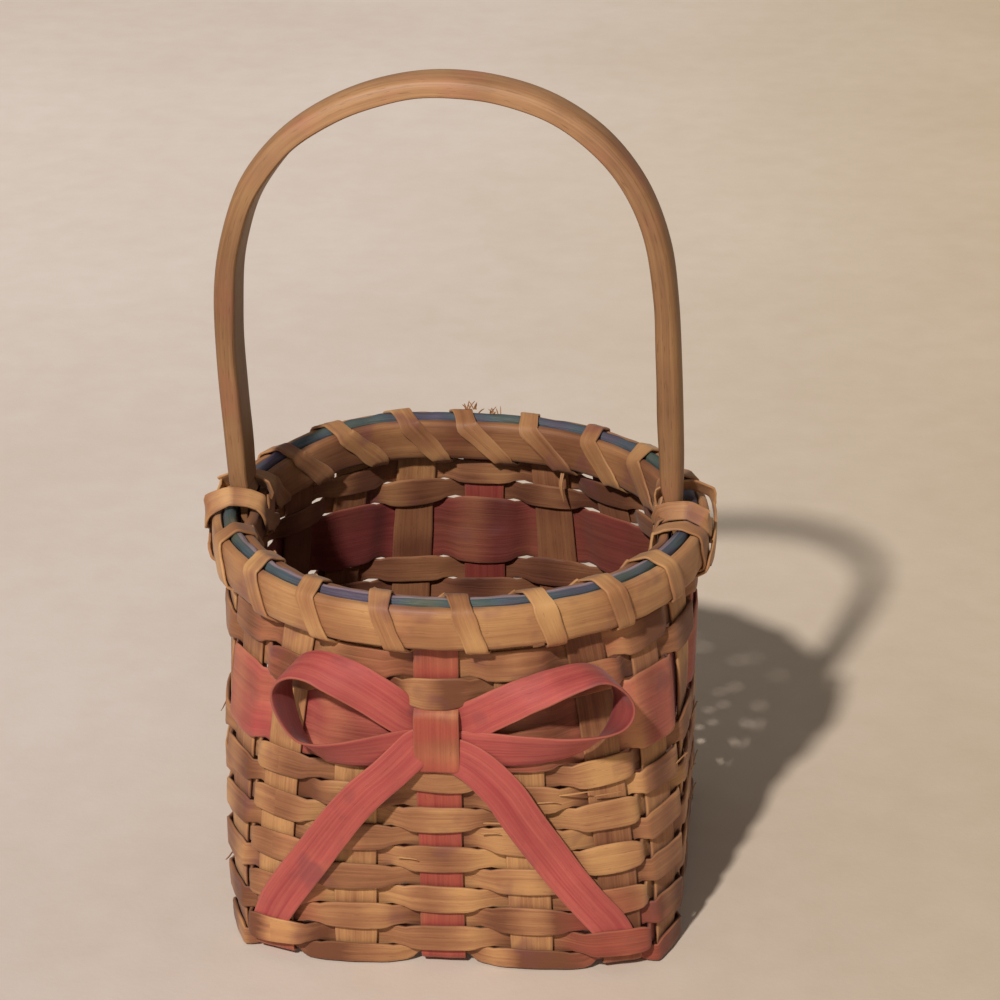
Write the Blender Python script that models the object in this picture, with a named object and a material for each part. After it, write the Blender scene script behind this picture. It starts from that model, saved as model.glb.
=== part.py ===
"""Small hand-woven reed basket with a bent wood handle and a reed bow on its front.

Flat reed stakes cross each other to make a square base, turn up and become the
uprights of a wall that grows round towards its rim. Flat reed weavers go over and
under the uprights, row on row. Two hoops, a round filler and a spiral lashing close
the rim, and the handle's legs stand inside the wall, held by the same lashing.

The basket stands on z = 0 with the middle of its base at the origin. The bow is on
the -Y side, and the handle spans the basket along X.
"""

import math

import bmesh
import bpy
from mathutils import Vector

# Clearance between pieces that touch on the real basket
GAP = 0.0003

# Upright stakes, flat reed, five each way
STAKES_EACH_WAY = 5
STAKE_WIDTH = 0.0122
STAKE_THICKNESS = 0.0010
CORNER_STAKE_INSET = 0.0119
STAKE_BEND_RADIUS = 0.0016
STAKE_BEND_STEPS = 3

# Distance of each stake from the middle of the base, as a share of the corner stakes'
BASE_PLACE_SHARES = (0, 0.5128, 1)

# Plan of the wall, measured at the middle of the stakes' thickness
BASE_HALF_SIZE = 0.0587
BASE_CORNER_RADIUS = 0.0185
WALL_FLARE = 0.0051
CORNER_ROUNDING_POWER = 1.3

# Weavers, flat reed, and the wide dyed band
WEAVER_HEIGHT = 0.00605
WEAVER_THICKNESS = 0.0010
ROW_GAP = 0.0003
ROWS_BELOW_BAND = 10
ROWS_ABOVE_BAND = 2
BAND_HEIGHT = 0.0194
RIM_ROW_HEIGHT = 0.0100
FIRST_ROW_TOP = 0.0057
FIRST_ROW_OUTER_FOOT = 0.0006
EDGE_CLEARANCE = 0.0005
LASHING_SLOT_HEIGHT = 0.00315

# Rim: two hoops of half-round reed and a round filler between them
HOOP_THICKNESS = 0.0029
HOOP_HEIGHT = 0.0116
HOOP_SINK = 0.0088
FILLER_RADIUS = 0.0020
HOOP_STATIONS = 72
FILLER_STATIONS = 48
FILLER_SIDES = 8

# Lashing that winds round the rim once for each stake
LASHING_WIDTH = 0.0060
LASHING_THICKNESS = 0.0008
OUTER_SIDE_STEPS = 4

# How much of a turn's advance round the rim the lashing has made at each place of its
# path: shares from one top of the rim, down the outside, under and up the inside
SHOULDER_SHARE = 0.03
OUTER_TOP_SHARE = 0.06
OUTER_FOOT_SHARE = 0.37
OUTER_HEEL_SHARE = 0.395
OUTER_SLOT_SHARE = 0.42
SLOT_SHARE = 0.435
INNER_SLOT_SHARE = 0.45
INNER_HEEL_SHARE = 0.475
INNER_FOOT_SHARE = 0.50
INNER_TOP_SHARE = 0.94
INNER_SHOULDER_SHARE = 0.97

# Handle, a bent strip of wood with a flat inner face and a rounded outer one
HANDLE_WIDTH = 0.0115
HANDLE_THICKNESS = 0.0062
HANDLE_RIM_THICKNESS = 0.0042
HANDLE_TIP_THICKNESS = 0.0026
HANDLE_TIP_WIDTH = 0.0090
HANDLE_SPRING_HEIGHT = 0.1720
HANDLE_TANG_LENGTH = 0.0350
HANDLE_LEAN_EASE = 0.0200
HANDLE_SIDE_LEAN = math.radians(-2.7)
HANDLE_BACK_LEAN = math.radians(4.8)
ARCH_STEPS = 22

# Inner hoop's bulge round each leg of the handle, and the lashing's place beside it
BULGE_FLAT_ANGLE = math.radians(7.5)
BULGE_RAMP_ANGLE = math.radians(20.0)
LEG_CLEAR_EXTRA_ANGLE = math.radians(1.0)

# Bow on the front, of dyed flat reed held under the raised middle stake
BOW_WIDTH = 0.0120
BOW_THICKNESS = 0.0009
KNOT_RAMP = 0.0020
BESIDE_KNOT_SHARE = 0.4444
LOOP_REACH_LEFT = 0.0465
LOOP_REACH_RIGHT = 0.0500
LOOP_RISE = 0.0230
LOOP_FLARE = math.radians(42.0)
TAIL_TOP_REACH = 0.0124
TAIL_TOP_DROP = 0.0105
TAIL_END_INSET = 0.0023
TAIL_END_HEIGHT = 0.0168
TAIL_STANDOFF_SHARE = 0.8
TAIL_STEPS = 12
LOOP_STEPS = 3

# Sizes that follow from the ones above
FACES = 4
STAKE_COUNT = FACES * STAKES_EACH_WAY
SIDE_STAKES = STAKES_EACH_WAY // 2
CORNER_STAKE_PLACE = BASE_HALF_SIZE - CORNER_STAKE_INSET
RIM_RADIUS = BASE_HALF_SIZE + WALL_FLARE
LAYER_RISE = STAKE_THICKNESS + GAP
WEAVE_OFFSET = (STAKE_THICKNESS + WEAVER_THICKNESS) / 2 + GAP
WALL_HALF_DEPTH = WEAVE_OFFSET + WEAVER_THICKNESS / 2
ROW_PITCH = WEAVER_HEIGHT + ROW_GAP
BAND_BOTTOM = FIRST_ROW_TOP + (ROWS_BELOW_BAND - 1) * ROW_PITCH + ROW_GAP
BAND_TOP = BAND_BOTTOM + BAND_HEIGHT
LAST_ROW_TOP = BAND_TOP + ROWS_ABOVE_BAND * ROW_PITCH
RIM_ROW_BOTTOM = LAST_ROW_TOP + LASHING_SLOT_HEIGHT
WALL_TOP = RIM_ROW_BOTTOM + RIM_ROW_HEIGHT
HOOP_BOTTOM = WALL_TOP - HOOP_SINK
HOOP_TOP = HOOP_BOTTOM + HOOP_HEIGHT
FILLER_HEIGHT = WALL_TOP + GAP + FILLER_RADIUS
HOOP_OFFSET = max(WALL_HALF_DEPTH, FILLER_RADIUS) + GAP
HANDLE_OUTER_REACH = RIM_RADIUS - HOOP_OFFSET
KNOT_LIFT = WEAVE_OFFSET + STAKE_THICKNESS / 2
KNOT_HEIGHT = (BAND_BOTTOM + BAND_TOP) / 2
BULGE_DEPTH = HANDLE_RIM_THICKNESS + GAP
LEG_CLEAR_ANGLE = (HANDLE_WIDTH + LASHING_WIDTH) / 2 / HANDLE_OUTER_REACH + LEG_CLEAR_EXTRA_ANGLE
TAIL_END_REACH = CORNER_STAKE_PLACE - TAIL_END_INSET
BOW_STEP = BOW_THICKNESS + GAP
BOW_FLAT_OFFSET = WALL_HALF_DEPTH + GAP + BOW_THICKNESS / 2
BOW_KNOT_OFFSET = -WEAVE_OFFSET + WEAVER_THICKNESS / 2 + GAP + BOW_THICKNESS / 2

REED = (0.57, 0.37, 0.20)
REED_DARK = (0.42, 0.26, 0.15)
REED_PALE = (0.66, 0.46, 0.27)
PINK = (0.62, 0.16, 0.15)
PINK_PALE = (0.60, 0.22, 0.17)
WOOD = (0.50, 0.28, 0.15)
BLUE = (0.09, 0.13, 0.17)


def lerp(start, end, share):
    return start + (end - start) * share


def round_share(z):
    """How far the wall has gone from the square base to the round rim at height z."""
    return min(max(z / RIM_ROW_BOTTOM, 0), 1)


def half_size(z):
    return lerp(BASE_HALF_SIZE, RIM_RADIUS, round_share(z))


def corner_radius(z):
    return lerp(BASE_CORNER_RADIUS, RIM_RADIUS, round_share(z) ** CORNER_ROUNDING_POWER)


def base_stake_place(number):
    """Distance of a stake from the middle of the base."""
    return math.copysign(CORNER_STAKE_PLACE * BASE_PLACE_SHARES[abs(number)], number)


def stake_place(number, z):
    """Distance along the wall, at height z, from the middle of a face to its stake."""
    quarter = 2 * (half_size(z) - corner_radius(z)) + corner_radius(z) * math.pi / 2
    round_place = number * quarter / STAKES_EACH_WAY
    return lerp(base_stake_place(number), round_place, round_share(z))


def wall_point(face, along, z, out=0):
    """Point of the wall's middle surface, moved outwards, with its tangent and normal.

    Faces count anticlockwise from the front one, and along grows anticlockwise too.
    """
    radius = corner_radius(z)
    flat = half_size(z) - radius
    turn = max(abs(along) - flat, 0) / radius
    sign = math.copysign(1, along)
    x = sign * (min(abs(along), flat) + radius * math.sin(turn))
    y = -flat - radius * math.cos(turn)
    normal = Vector((sign * math.sin(turn), -math.cos(turn), 0))
    tangent = Vector((math.cos(turn), sign * math.sin(turn), 0))
    point = Vector((x, y, z)) + normal * out
    return tuple(turned(vector, face) for vector in (point, tangent, normal))


def turned(vector, face):
    """The vector turned by quarter turns about Z, without rounding."""
    x, y, z = vector
    for _ in range(face % FACES):
        x, y = -y, x
    return Vector((x, y, z))


def stake_frame(face, number, z):
    """Middle, tangent and normal of an upright, which stays flat where the wall curves."""
    along = stake_place(number, z)
    start = wall_point(face, along - STAKE_WIDTH / 2, z)[0]
    end = wall_point(face, along + STAKE_WIDTH / 2, z)[0]
    tangent = (end - start).normalized()
    normal = Vector((tangent.y, -tangent.x, 0))
    return (start + end) / 2, tangent, normal


def material(name, colour, roughness):
    made = bpy.data.materials.new(name)
    made.use_nodes = True
    shader = made.node_tree.nodes["Principled BSDF"]
    shader.inputs["Base Color"].default_value = (*colour, 1)
    shader.inputs["Roughness"].default_value = roughness
    shader.inputs["Metallic"].default_value = 0
    made.diffuse_color = (*colour, 1)
    return made


def loft(name, sections, closed, colour, roughness=0.6, smooth=False):
    """One closed body through equal sections, joined end to end or capped."""
    made = bmesh.new()
    rings = [[made.verts.new(point) for point in section] for section in sections]
    pairs = list(zip(rings, rings[1:] + rings[:1])) if closed else list(zip(rings, rings[1:]))
    for first, second in pairs:
        count = len(first)
        for i in range(count):
            j = (i + 1) % count
            made.faces.new((first[i], first[j], second[j], second[i]))
    if not closed:
        made.faces.new(rings[0])
        made.faces.new(rings[-1])
    bmesh.ops.triangulate(made, faces=made.faces[:])
    bmesh.ops.recalc_face_normals(made, faces=made.faces[:])
    mesh = bpy.data.meshes.new(name)
    made.to_mesh(mesh)
    made.free()
    if smooth:
        mesh.shade_smooth()
        mesh.set_sharp_from_angle(angle=math.radians(40))
    mesh.materials.append(material(name, colour, roughness))
    body = bpy.data.objects.new(name, mesh)
    bpy.context.scene.collection.objects.link(body)
    return body


def strip_section(middle, across, normal, width, thickness):
    """Rectangle of a flat strip, from its middle and its two directions."""
    side = across * width / 2
    face = normal * thickness / 2
    return [middle - side - face, middle + side - face, middle + side + face, middle - side + face]


def base_layer_height(is_over):
    return STAKE_THICKNESS / 2 + (LAYER_RISE if is_over else 0)


def knot_lift(z):
    """How far the front middle stake stands out where it holds the bow."""
    from_edge = min(z - BAND_BOTTOM, BAND_TOP - z)
    return KNOT_LIFT * min(max(from_edge / KNOT_RAMP, 0), 1)


def wall_heights():
    """Heights of the uprights' sections, from the bend at the base to the wall's top."""
    rows = [FIRST_ROW_TOP + ROW_PITCH * row for row in range(0, ROWS_BELOW_BAND - 1, 2)]
    knot = [BAND_BOTTOM, BAND_BOTTOM + KNOT_RAMP, BAND_TOP - KNOT_RAMP, BAND_TOP]
    return rows + knot + [LAST_ROW_TOP, RIM_ROW_BOTTOM, WALL_TOP]


def upright_sections(face, number, foot, lifted):
    """Sections of one upright, from the flat of the base to the top of the wall."""
    bend_top = foot + STAKE_BEND_RADIUS
    middle, tangent, normal = stake_frame(face, number, bend_top)
    centre = middle - normal * STAKE_BEND_RADIUS
    sections = []
    for step in range(STAKE_BEND_STEPS + 1):
        angle = math.pi / 2 * step / STAKE_BEND_STEPS
        arm = normal * math.sin(angle) + Vector((0, 0, -1)) * math.cos(angle)
        place = centre + arm * STAKE_BEND_RADIUS
        sections.append(strip_section(place, tangent, arm, STAKE_WIDTH, STAKE_THICKNESS))
    for z in wall_heights():
        middle, tangent, normal = stake_frame(face, number, z)
        place = middle + normal * (knot_lift(z) if lifted else 0)
        sections.append(strip_section(place, tangent, normal, STAKE_WIDTH, STAKE_THICKNESS))
    return sections


def reversed_upright(sections):
    """The same sections seen from the other end of the strip."""
    return [[section[1], section[0], section[3], section[2]] for section in reversed(sections)]


def stake(name, number, first_face, over_at_middle, colour):
    """One strip that runs up a wall, across the base and up the opposite wall.

    first_face is 0 for front to back strips and 3 for left to right ones.
    """
    def is_over(crossing):
        return (number + crossing) % 2 == (0 if over_at_middle else 1)

    foot = base_layer_height(is_over(SIDE_STAKES))
    lifted = first_face == 0 and number == 0
    sections = reversed_upright(upright_sections(first_face, number, foot, lifted))
    reach = STAKE_WIDTH / 2 + EDGE_CLEARANCE
    for crossing in range(-SIDE_STAKES, SIDE_STAKES + 1):
        z = base_layer_height(is_over(crossing))
        for side in (-1, 1):
            place = Vector((base_stake_place(number), base_stake_place(crossing) + side * reach, z))
            section = strip_section(
                turned(place, first_face), turned(Vector((-1, 0, 0)), first_face),
                Vector((0, 0, -1)), STAKE_WIDTH, STAKE_THICKNESS)
            sections.append(section)
    sections += upright_sections(first_face + 2, -number, foot, False)
    return loft(name, sections, False, colour)


def row_path(row, z, thickness):
    """Inner and outer points of a weaver at height z, mitred at each of its bends.

    Each comes with whether the first row can hang low there, outside and off the corners.
    """
    middles = []
    for index in range(STAKE_COUNT):
        face, number = index // STAKES_EACH_WAY, index % STAKES_EACH_WAY - SIDE_STAKES
        middle, tangent, normal = stake_frame(face, number, z)
        is_outside = (row + number + face * STAKES_EACH_WAY) % 2 == 0
        offset = normal * (WEAVE_OFFSET if is_outside else -WEAVE_OFFSET)
        reach = tangent * (STAKE_WIDTH / 2 + EDGE_CLEARANCE)
        is_low = is_outside and abs(number) < SIDE_STAKES
        middles.append((middle + offset - reach, is_low))
        middles.append((middle + offset + reach, is_low))
    path = []
    for i, (place, is_low) in enumerate(middles):
        before = (place - middles[i - 1][0]).normalized()
        after = (middles[(i + 1) % len(middles)][0] - place).normalized()
        along = (before + after).normalized()
        out = Vector((along.y, -along.x, 0)) * thickness / 2 / along.dot(after)
        path.append((place - out, place + out, is_low))
    return path


def first_row_foot():
    """Height of the first row's lower edge inside the wall, clear of the stakes' bends."""
    inner_radius = STAKE_BEND_RADIUS - STAKE_THICKNESS / 2
    reach = STAKE_BEND_RADIUS - (WEAVE_OFFSET - WEAVER_THICKNESS / 2)
    drop = math.sqrt(max(inner_radius ** 2 - max(reach, 0) ** 2, 0))
    return base_layer_height(True) + STAKE_BEND_RADIUS - drop + GAP


def weaver(name, row, bottom, top, colour, thickness=WEAVER_THICKNESS, inner_bottom=None):
    """One closed row, whose lower edge may be higher where it runs inside the wall."""
    upper = row_path(row, top, thickness)
    lower = row_path(row, bottom, thickness)
    raised = row_path(row, inner_bottom, thickness) if inner_bottom else lower
    sections = []
    for high, low, lifted in zip(upper, lower, raised):
        foot = low if low[2] else lifted
        sections.append([foot[0], foot[1], high[1], high[0]])
    return loft(name, sections, True, colour)


def handle_bulge(angle):
    """Share of the handle's room that the inner hoop gives, by angle from the +X leg."""
    away = min(angle % math.pi, math.pi - angle % math.pi)
    return min(max((BULGE_RAMP_ANGLE - away) / (BULGE_RAMP_ANGLE - BULGE_FLAT_ANGLE), 0), 1)


def ring_point(radius, angle, z):
    return Vector((radius * math.cos(angle), radius * math.sin(angle), z))


def hoop(name, is_outer, colour):
    """Half-round hoop whose flat face is towards the wall."""
    side = 1 if is_outer else -1
    outline_shares = [(0, 0), (0, 1), (0.55, 1), (1, 0.8), (1, 0.2), (0.55, 0)]
    sections = []
    for i in range(HOOP_STATIONS):
        angle = math.tau * i / HOOP_STATIONS
        start = RIM_RADIUS + side * HOOP_OFFSET
        if not is_outer:
            start -= BULGE_DEPTH * handle_bulge(angle)
        sections.append([
            ring_point(start + side * HOOP_THICKNESS * depth, angle, HOOP_BOTTOM + HOOP_HEIGHT * rise)
            for depth, rise in outline_shares])
    return loft(name, sections, True, colour, smooth=True)


def filler(name, colour):
    sections = []
    for i in range(FILLER_STATIONS):
        angle = math.tau * i / FILLER_STATIONS
        sections.append([
            ring_point(RIM_RADIUS + FILLER_RADIUS * math.cos(turn), angle,
                       FILLER_HEIGHT + FILLER_RADIUS * math.sin(turn))
            for turn in (math.tau * side / FILLER_SIDES for side in range(FILLER_SIDES))])
    return loft(name, sections, True, colour, smooth=True)


def lashing_outline(extra):
    """Path of a lashing round the rim's section, from its top, outwards and down.

    Each point is its distance out from the rim's middle circle, its height, and how
    far round the rim the lashing has gone there, as a share of one turn's advance.
    """
    clear = GAP + LASHING_THICKNESS / 2
    side = HOOP_OFFSET + HOOP_THICKNESS + clear + extra
    shoulder = HOOP_OFFSET + HOOP_THICKNESS / 2 + extra
    top = FILLER_HEIGHT + FILLER_RADIUS + clear
    shoulder_height = HOOP_TOP + clear + LASHING_THICKNESS * 0.75
    side_top = HOOP_TOP - clear
    side_foot = HOOP_BOTTOM + clear
    heel = HOOP_OFFSET + HOOP_THICKNESS * 0.8 + extra
    heel_height = HOOP_BOTTOM - clear - extra
    slot_height = RIM_ROW_BOTTOM - clear - extra
    outline = [(0, top, 0), (shoulder, shoulder_height, SHOULDER_SHARE)]
    for step in range(OUTER_SIDE_STEPS + 1):
        down = step / OUTER_SIDE_STEPS
        place_share = lerp(OUTER_TOP_SHARE, OUTER_FOOT_SHARE, down)
        outline.append((side, lerp(side_top, side_foot, down), place_share))
    return outline + [
        (heel, heel_height, OUTER_HEEL_SHARE),
        (HOOP_OFFSET, slot_height, OUTER_SLOT_SHARE),
        (-HOOP_OFFSET, slot_height, INNER_SLOT_SHARE),
        (-heel, heel_height, INNER_HEEL_SHARE),
        (-side, side_foot, INNER_FOOT_SHARE),
        (-side, side_top, INNER_TOP_SHARE),
        (-shoulder, shoulder_height, INNER_SHOULDER_SHARE)]


def top_share(share):
    """How much a point of the lashing's turn follows its top rather than its slot."""
    if share < SLOT_SHARE:
        return min(max((OUTER_FOOT_SHARE - share) / (OUTER_FOOT_SHARE - OUTER_TOP_SHARE), 0), 1)
    return min(max((share - INNER_FOOT_SHARE) / (INNER_TOP_SHARE - INNER_FOOT_SHARE), 0), 1)


def outline_normals(outline):
    """Mitred outward directions at each point of a closed outline in its own plane."""
    normals = []
    for i, (out, z, _) in enumerate(outline):
        before = Vector((out - outline[i - 1][0], z - outline[i - 1][1])).normalized()
        following = outline[(i + 1) % len(outline)]
        after = Vector((following[0] - out, following[1] - z)).normalized()
        along = (before + after).normalized()
        normals.append(Vector((-along.y, along.x)) / along.dot(after))
    return normals


def lashing_section(out, z, angle, normal):
    """Section of a lashing whose width runs round the rim, clear of the handle's bulge."""
    half_angle = LASHING_WIDTH / 2 / RIM_RADIUS
    reach = RIM_RADIUS + out
    if out < 0:
        widest = max(handle_bulge(angle + half_angle * side) for side in (-1, 0, 1))
        reach -= BULGE_DEPTH * widest * min(-out / HOOP_OFFSET, 1)
    half = normal * LASHING_THICKNESS / 2
    return [
        ring_point(reach - half.x, angle - half_angle, z - half.y),
        ring_point(reach - half.x, angle + half_angle, z - half.y),
        ring_point(reach + half.x, angle + half_angle, z + half.y),
        ring_point(reach + half.x, angle - half_angle, z + half.y)]


def rim_lashing(name, colour):
    """One endless spiral with a turn for each stake, set back in front of the handle."""
    outline = lashing_outline(0)
    normals = outline_normals(outline)
    advance = math.tau / STAKE_COUNT
    sections = []
    for turn in range(STAKE_COUNT):
        for (out, z, share), normal in zip(outline, normals):
            angle = advance * (turn + 0.5 + share - SLOT_SHARE)
            top_turn = turn + (1 if share > SLOT_SHARE else 0)
            top_angle = advance * (top_turn + 0.5 - SLOT_SHARE)
            from_leg = (top_angle + math.pi / 2) % math.pi - math.pi / 2
            if abs(from_leg) < advance / 2:
                angle -= (from_leg + LEG_CLEAR_ANGLE) * top_share(share)
                if top_share(share) == 1:
                    angle = top_angle - from_leg - LEG_CLEAR_ANGLE
            sections.append(lashing_section(out, z, angle, normal))
    return loft(name, sections, True, colour)


def handle_wrap(name, leg_angle, colour):
    """Extra turn of lashing that crosses the spiral over a leg of the handle."""
    outline = lashing_outline(LASHING_THICKNESS + GAP)
    normals = outline_normals(outline)
    slot = -math.pi / STAKE_COUNT
    sections = []
    for (out, z, share), normal in zip(outline, normals):
        angle = leg_angle + lerp(slot, LEG_CLEAR_ANGLE, top_share(share))
        sections.append(lashing_section(out, z, angle, normal))
    return loft(name, sections, True, colour)


def handle_section(place, out, width, thickness):
    """Section with a flat inner face, slightly eased, and a rounded outer one.

    place is on the outer face, out points away from the basket's middle.
    """
    outline_shares = [(-0.42, -1), (0.42, -1), (0.5, -0.86), (0.5, -0.45), (0.3, -0.1),
                      (0, 0), (-0.3, -0.1), (-0.5, -0.45), (-0.5, -0.86)]
    across = Vector((0, 1, 0))
    return [place + across * width * side + out * thickness * depth for side, depth in outline_shares]


def leaned(point):
    """A handle point moved by the lean that the handle has above the rim."""
    rise = max(point.z - HOOP_TOP, 0)
    eased = rise - HANDLE_LEAN_EASE / 2
    if rise < HANDLE_LEAN_EASE:
        eased = rise ** 2 / (2 * HANDLE_LEAN_EASE)
    lean = Vector((math.tan(HANDLE_SIDE_LEAN), math.tan(HANDLE_BACK_LEAN), 0))
    return point + lean * eased


def leg_sections(side):
    """Sections of one leg, from the tip of its tang to the start of the arch."""
    tang_bottom = HOOP_BOTTOM - HANDLE_TANG_LENGTH
    tang_middle = lerp(tang_bottom, HOOP_BOTTOM, 0.5)
    tang_thickness = lerp(HANDLE_TIP_THICKNESS, HANDLE_RIM_THICKNESS, 0.6)
    shoulder_thickness = lerp(HANDLE_RIM_THICKNESS, HANDLE_THICKNESS, 0.7)
    leg_middle = lerp(HOOP_TOP, HANDLE_SPRING_HEIGHT, 0.65)
    heights = [
        (tang_bottom, HANDLE_TIP_WIDTH, HANDLE_TIP_THICKNESS),
        (tang_middle, HANDLE_WIDTH, tang_thickness),
        (HOOP_BOTTOM, HANDLE_WIDTH, HANDLE_RIM_THICKNESS),
        (HOOP_TOP, HANDLE_WIDTH, HANDLE_RIM_THICKNESS),
        (HOOP_TOP + HANDLE_THICKNESS, HANDLE_WIDTH, shoulder_thickness),
        (HOOP_TOP + HANDLE_LEAN_EASE, HANDLE_WIDTH, HANDLE_THICKNESS),
        (leg_middle, HANDLE_WIDTH, HANDLE_THICKNESS)]
    sections = []
    for z, width, thickness in heights:
        reach = min(HANDLE_OUTER_REACH, half_size(z) - WALL_HALF_DEPTH - GAP)
        out = Vector((side, 0, 0))
        section = handle_section(Vector((side * reach, 0, z)), out, width, thickness)
        sections.append([leaned(point) for point in section])
    return sections


def handle(name, colour):
    """Both legs and the round arch between them, in one bent strip."""
    arch = []
    for step in range(ARCH_STEPS + 1):
        angle = math.pi * step / ARCH_STEPS
        out = Vector((math.cos(angle), 0, math.sin(angle)))
        place = Vector((0, 0, HANDLE_SPRING_HEIGHT)) + out * HANDLE_OUTER_REACH
        section = handle_section(place, out, HANDLE_WIDTH, HANDLE_THICKNESS)
        arch.append([leaned(point) for point in section])
    sections = leg_sections(1) + arch + list(reversed(leg_sections(-1)))
    return loft(name, sections, False, colour, smooth=True)


def bow_offset(along, layer):
    """Distance of a flat bow strip from the wall, by its layer in the crossing."""
    edge = STAKE_WIDTH / 2 + EDGE_CLEARANCE
    inner_edge = base_stake_place(1) - edge
    rise_length = (inner_edge - edge) * BESIDE_KNOT_SHARE
    share = min(max((abs(along) - edge) / rise_length, 0), 1)
    return lerp(BOW_KNOT_OFFSET, BOW_FLAT_OFFSET, share) + layer * BOW_STEP


def smooth_points(points, steps):
    """Points of a smooth curve through the given ones."""
    curve = []
    for i in range(len(points) - 1):
        p0 = Vector(points[max(i - 1, 0)])
        p1 = Vector(points[i])
        p2 = Vector(points[i + 1])
        p3 = Vector(points[min(i + 2, len(points) - 1)])
        for step in range(steps):
            t = step / steps
            curve.append(0.5 * (2 * p1 + (p2 - p0) * t + (2 * p0 - 5 * p1 + 4 * p2 - p3) * t ** 2
                                + (3 * p1 - p0 - 3 * p2 + p3) * t ** 3))
    curve.append(Vector(points[-1]))
    return curve


# Wall-side edge of a loop from the knot over its upper branch to its lower end. Each
# row is the reach share, the rise share over the knot's middle, the flare share and
# the crossing's layer.
LOOP_SHARES = [
    (0.00, 0.26, 0, 0), (0.14, 0.26, 0, 0), (0.24, 0.38, 0, 0), (0.38, 0.76, 0.6, 0),
    (0.54, 0.94, 1, 0), (0.70, 1.00, 1, 0), (0.86, 0.90, 1, 0), (0.96, 0.66, 1, 0),
    (1.00, 0.40, 1, 0), (0.95, 0.10, 1, 0), (0.84, -0.13, 1, 0), (0.71, -0.27, 1, 0),
    (0.57, -0.35, 0.8, 0.2), (0.43, -0.38, 0, 1), (0.30, -0.38, 0, 1), (0.165, -0.38, 0, 1)]


def loop_stations(side, reach):
    """Wall-side edge points of one loop with their flare and layer."""
    scale = Vector((side * reach, LOOP_RISE, 1, 1))
    points = [Vector([value * size for value, size in zip(row, scale)]) for row in LOOP_SHARES]
    points[0].y = points[1].y = BOW_WIDTH / 2
    return smooth_points(points, LOOP_STEPS)


def wall_up(along, z, out):
    """Direction that climbs the front of the wall, which leans with its height."""
    high = wall_point(0, along, z + BOW_WIDTH / 2, out)[0]
    low = wall_point(0, along, z - BOW_WIDTH / 2, out)[0]
    return (high - low).normalized()


def loop_half(side, reach):
    """Sections of one loop, from the middle of the knot to the loop's lower end."""
    stations = loop_stations(side, reach)
    sections = []
    for i, station in enumerate(stations):
        before = stations[max(i - 1, 0)]
        after = stations[min(i + 1, len(stations) - 1)]
        heading = Vector((after.x - before.x, after.y - before.y)).normalized()
        inward = Vector((-heading.y, heading.x)) * -side
        flare = min(max(station.z, 0), 1)
        away = math.cos(lerp(math.pi / 2, LOOP_FLARE, flare))
        sink = math.sin(lerp(math.pi / 2, LOOP_FLARE, flare))
        z = KNOT_HEIGHT + station.y
        offset = bow_offset(station.x, station.w)
        place, tangent, normal = wall_point(0, station.x, z, offset)
        up = wall_up(station.x, z, offset)
        far_offset = bow_offset(station.x + inward.x * sink * BOW_WIDTH, station.w)
        away = max(away, (far_offset - offset) / BOW_WIDTH)
        across = (normal * away + (tangent * inward.x + up * inward.y) * sink).normalized()
        along = tangent * heading.x + up * heading.y
        face = across.cross(along).normalized() * side
        middle = place + across * BOW_WIDTH / 2
        sections.append(strip_section(middle, across, face, BOW_WIDTH, BOW_THICKNESS))
    return sections


def bow_loops(name, colour):
    """One strip that makes both loops and runs behind the raised stake between them."""
    left = loop_half(-1, LOOP_REACH_LEFT)
    right = loop_half(1, LOOP_REACH_RIGHT)
    return loft(name, list(reversed(left))[:-1] + right, False, colour)


def bow_tail(name, side, colour):
    """Straight end of the bow, from the knot down to the corner stake."""
    start = Vector((side * TAIL_TOP_REACH, KNOT_HEIGHT - TAIL_TOP_DROP))
    end = Vector((side * TAIL_END_REACH, TAIL_END_HEIGHT))
    heading = (end - start).normalized()
    sections = []
    for step in range(TAIL_STEPS + 1):
        share = step / TAIL_STEPS
        place = start.lerp(end, share)
        layer = lerp(2, TAIL_STANDOFF_SHARE, min(share * 3, 1))
        corners = []
        for edge in (-1, 1):
            spot = place + Vector((heading.y, -heading.x)) * edge * BOW_WIDTH / 2
            offset = bow_offset(max(abs(spot.x), TAIL_TOP_REACH), layer)
            for face in (-1, 1):
                corners.append(wall_point(0, spot.x, spot.y, offset + face * BOW_THICKNESS / 2)[0])
        sections.append([corners[0], corners[2], corners[3], corners[1]])
    return loft(name, sections, False, colour)


def clear_scene():
    for old in list(bpy.data.objects):
        bpy.data.objects.remove(old, do_unlink=True)


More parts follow.
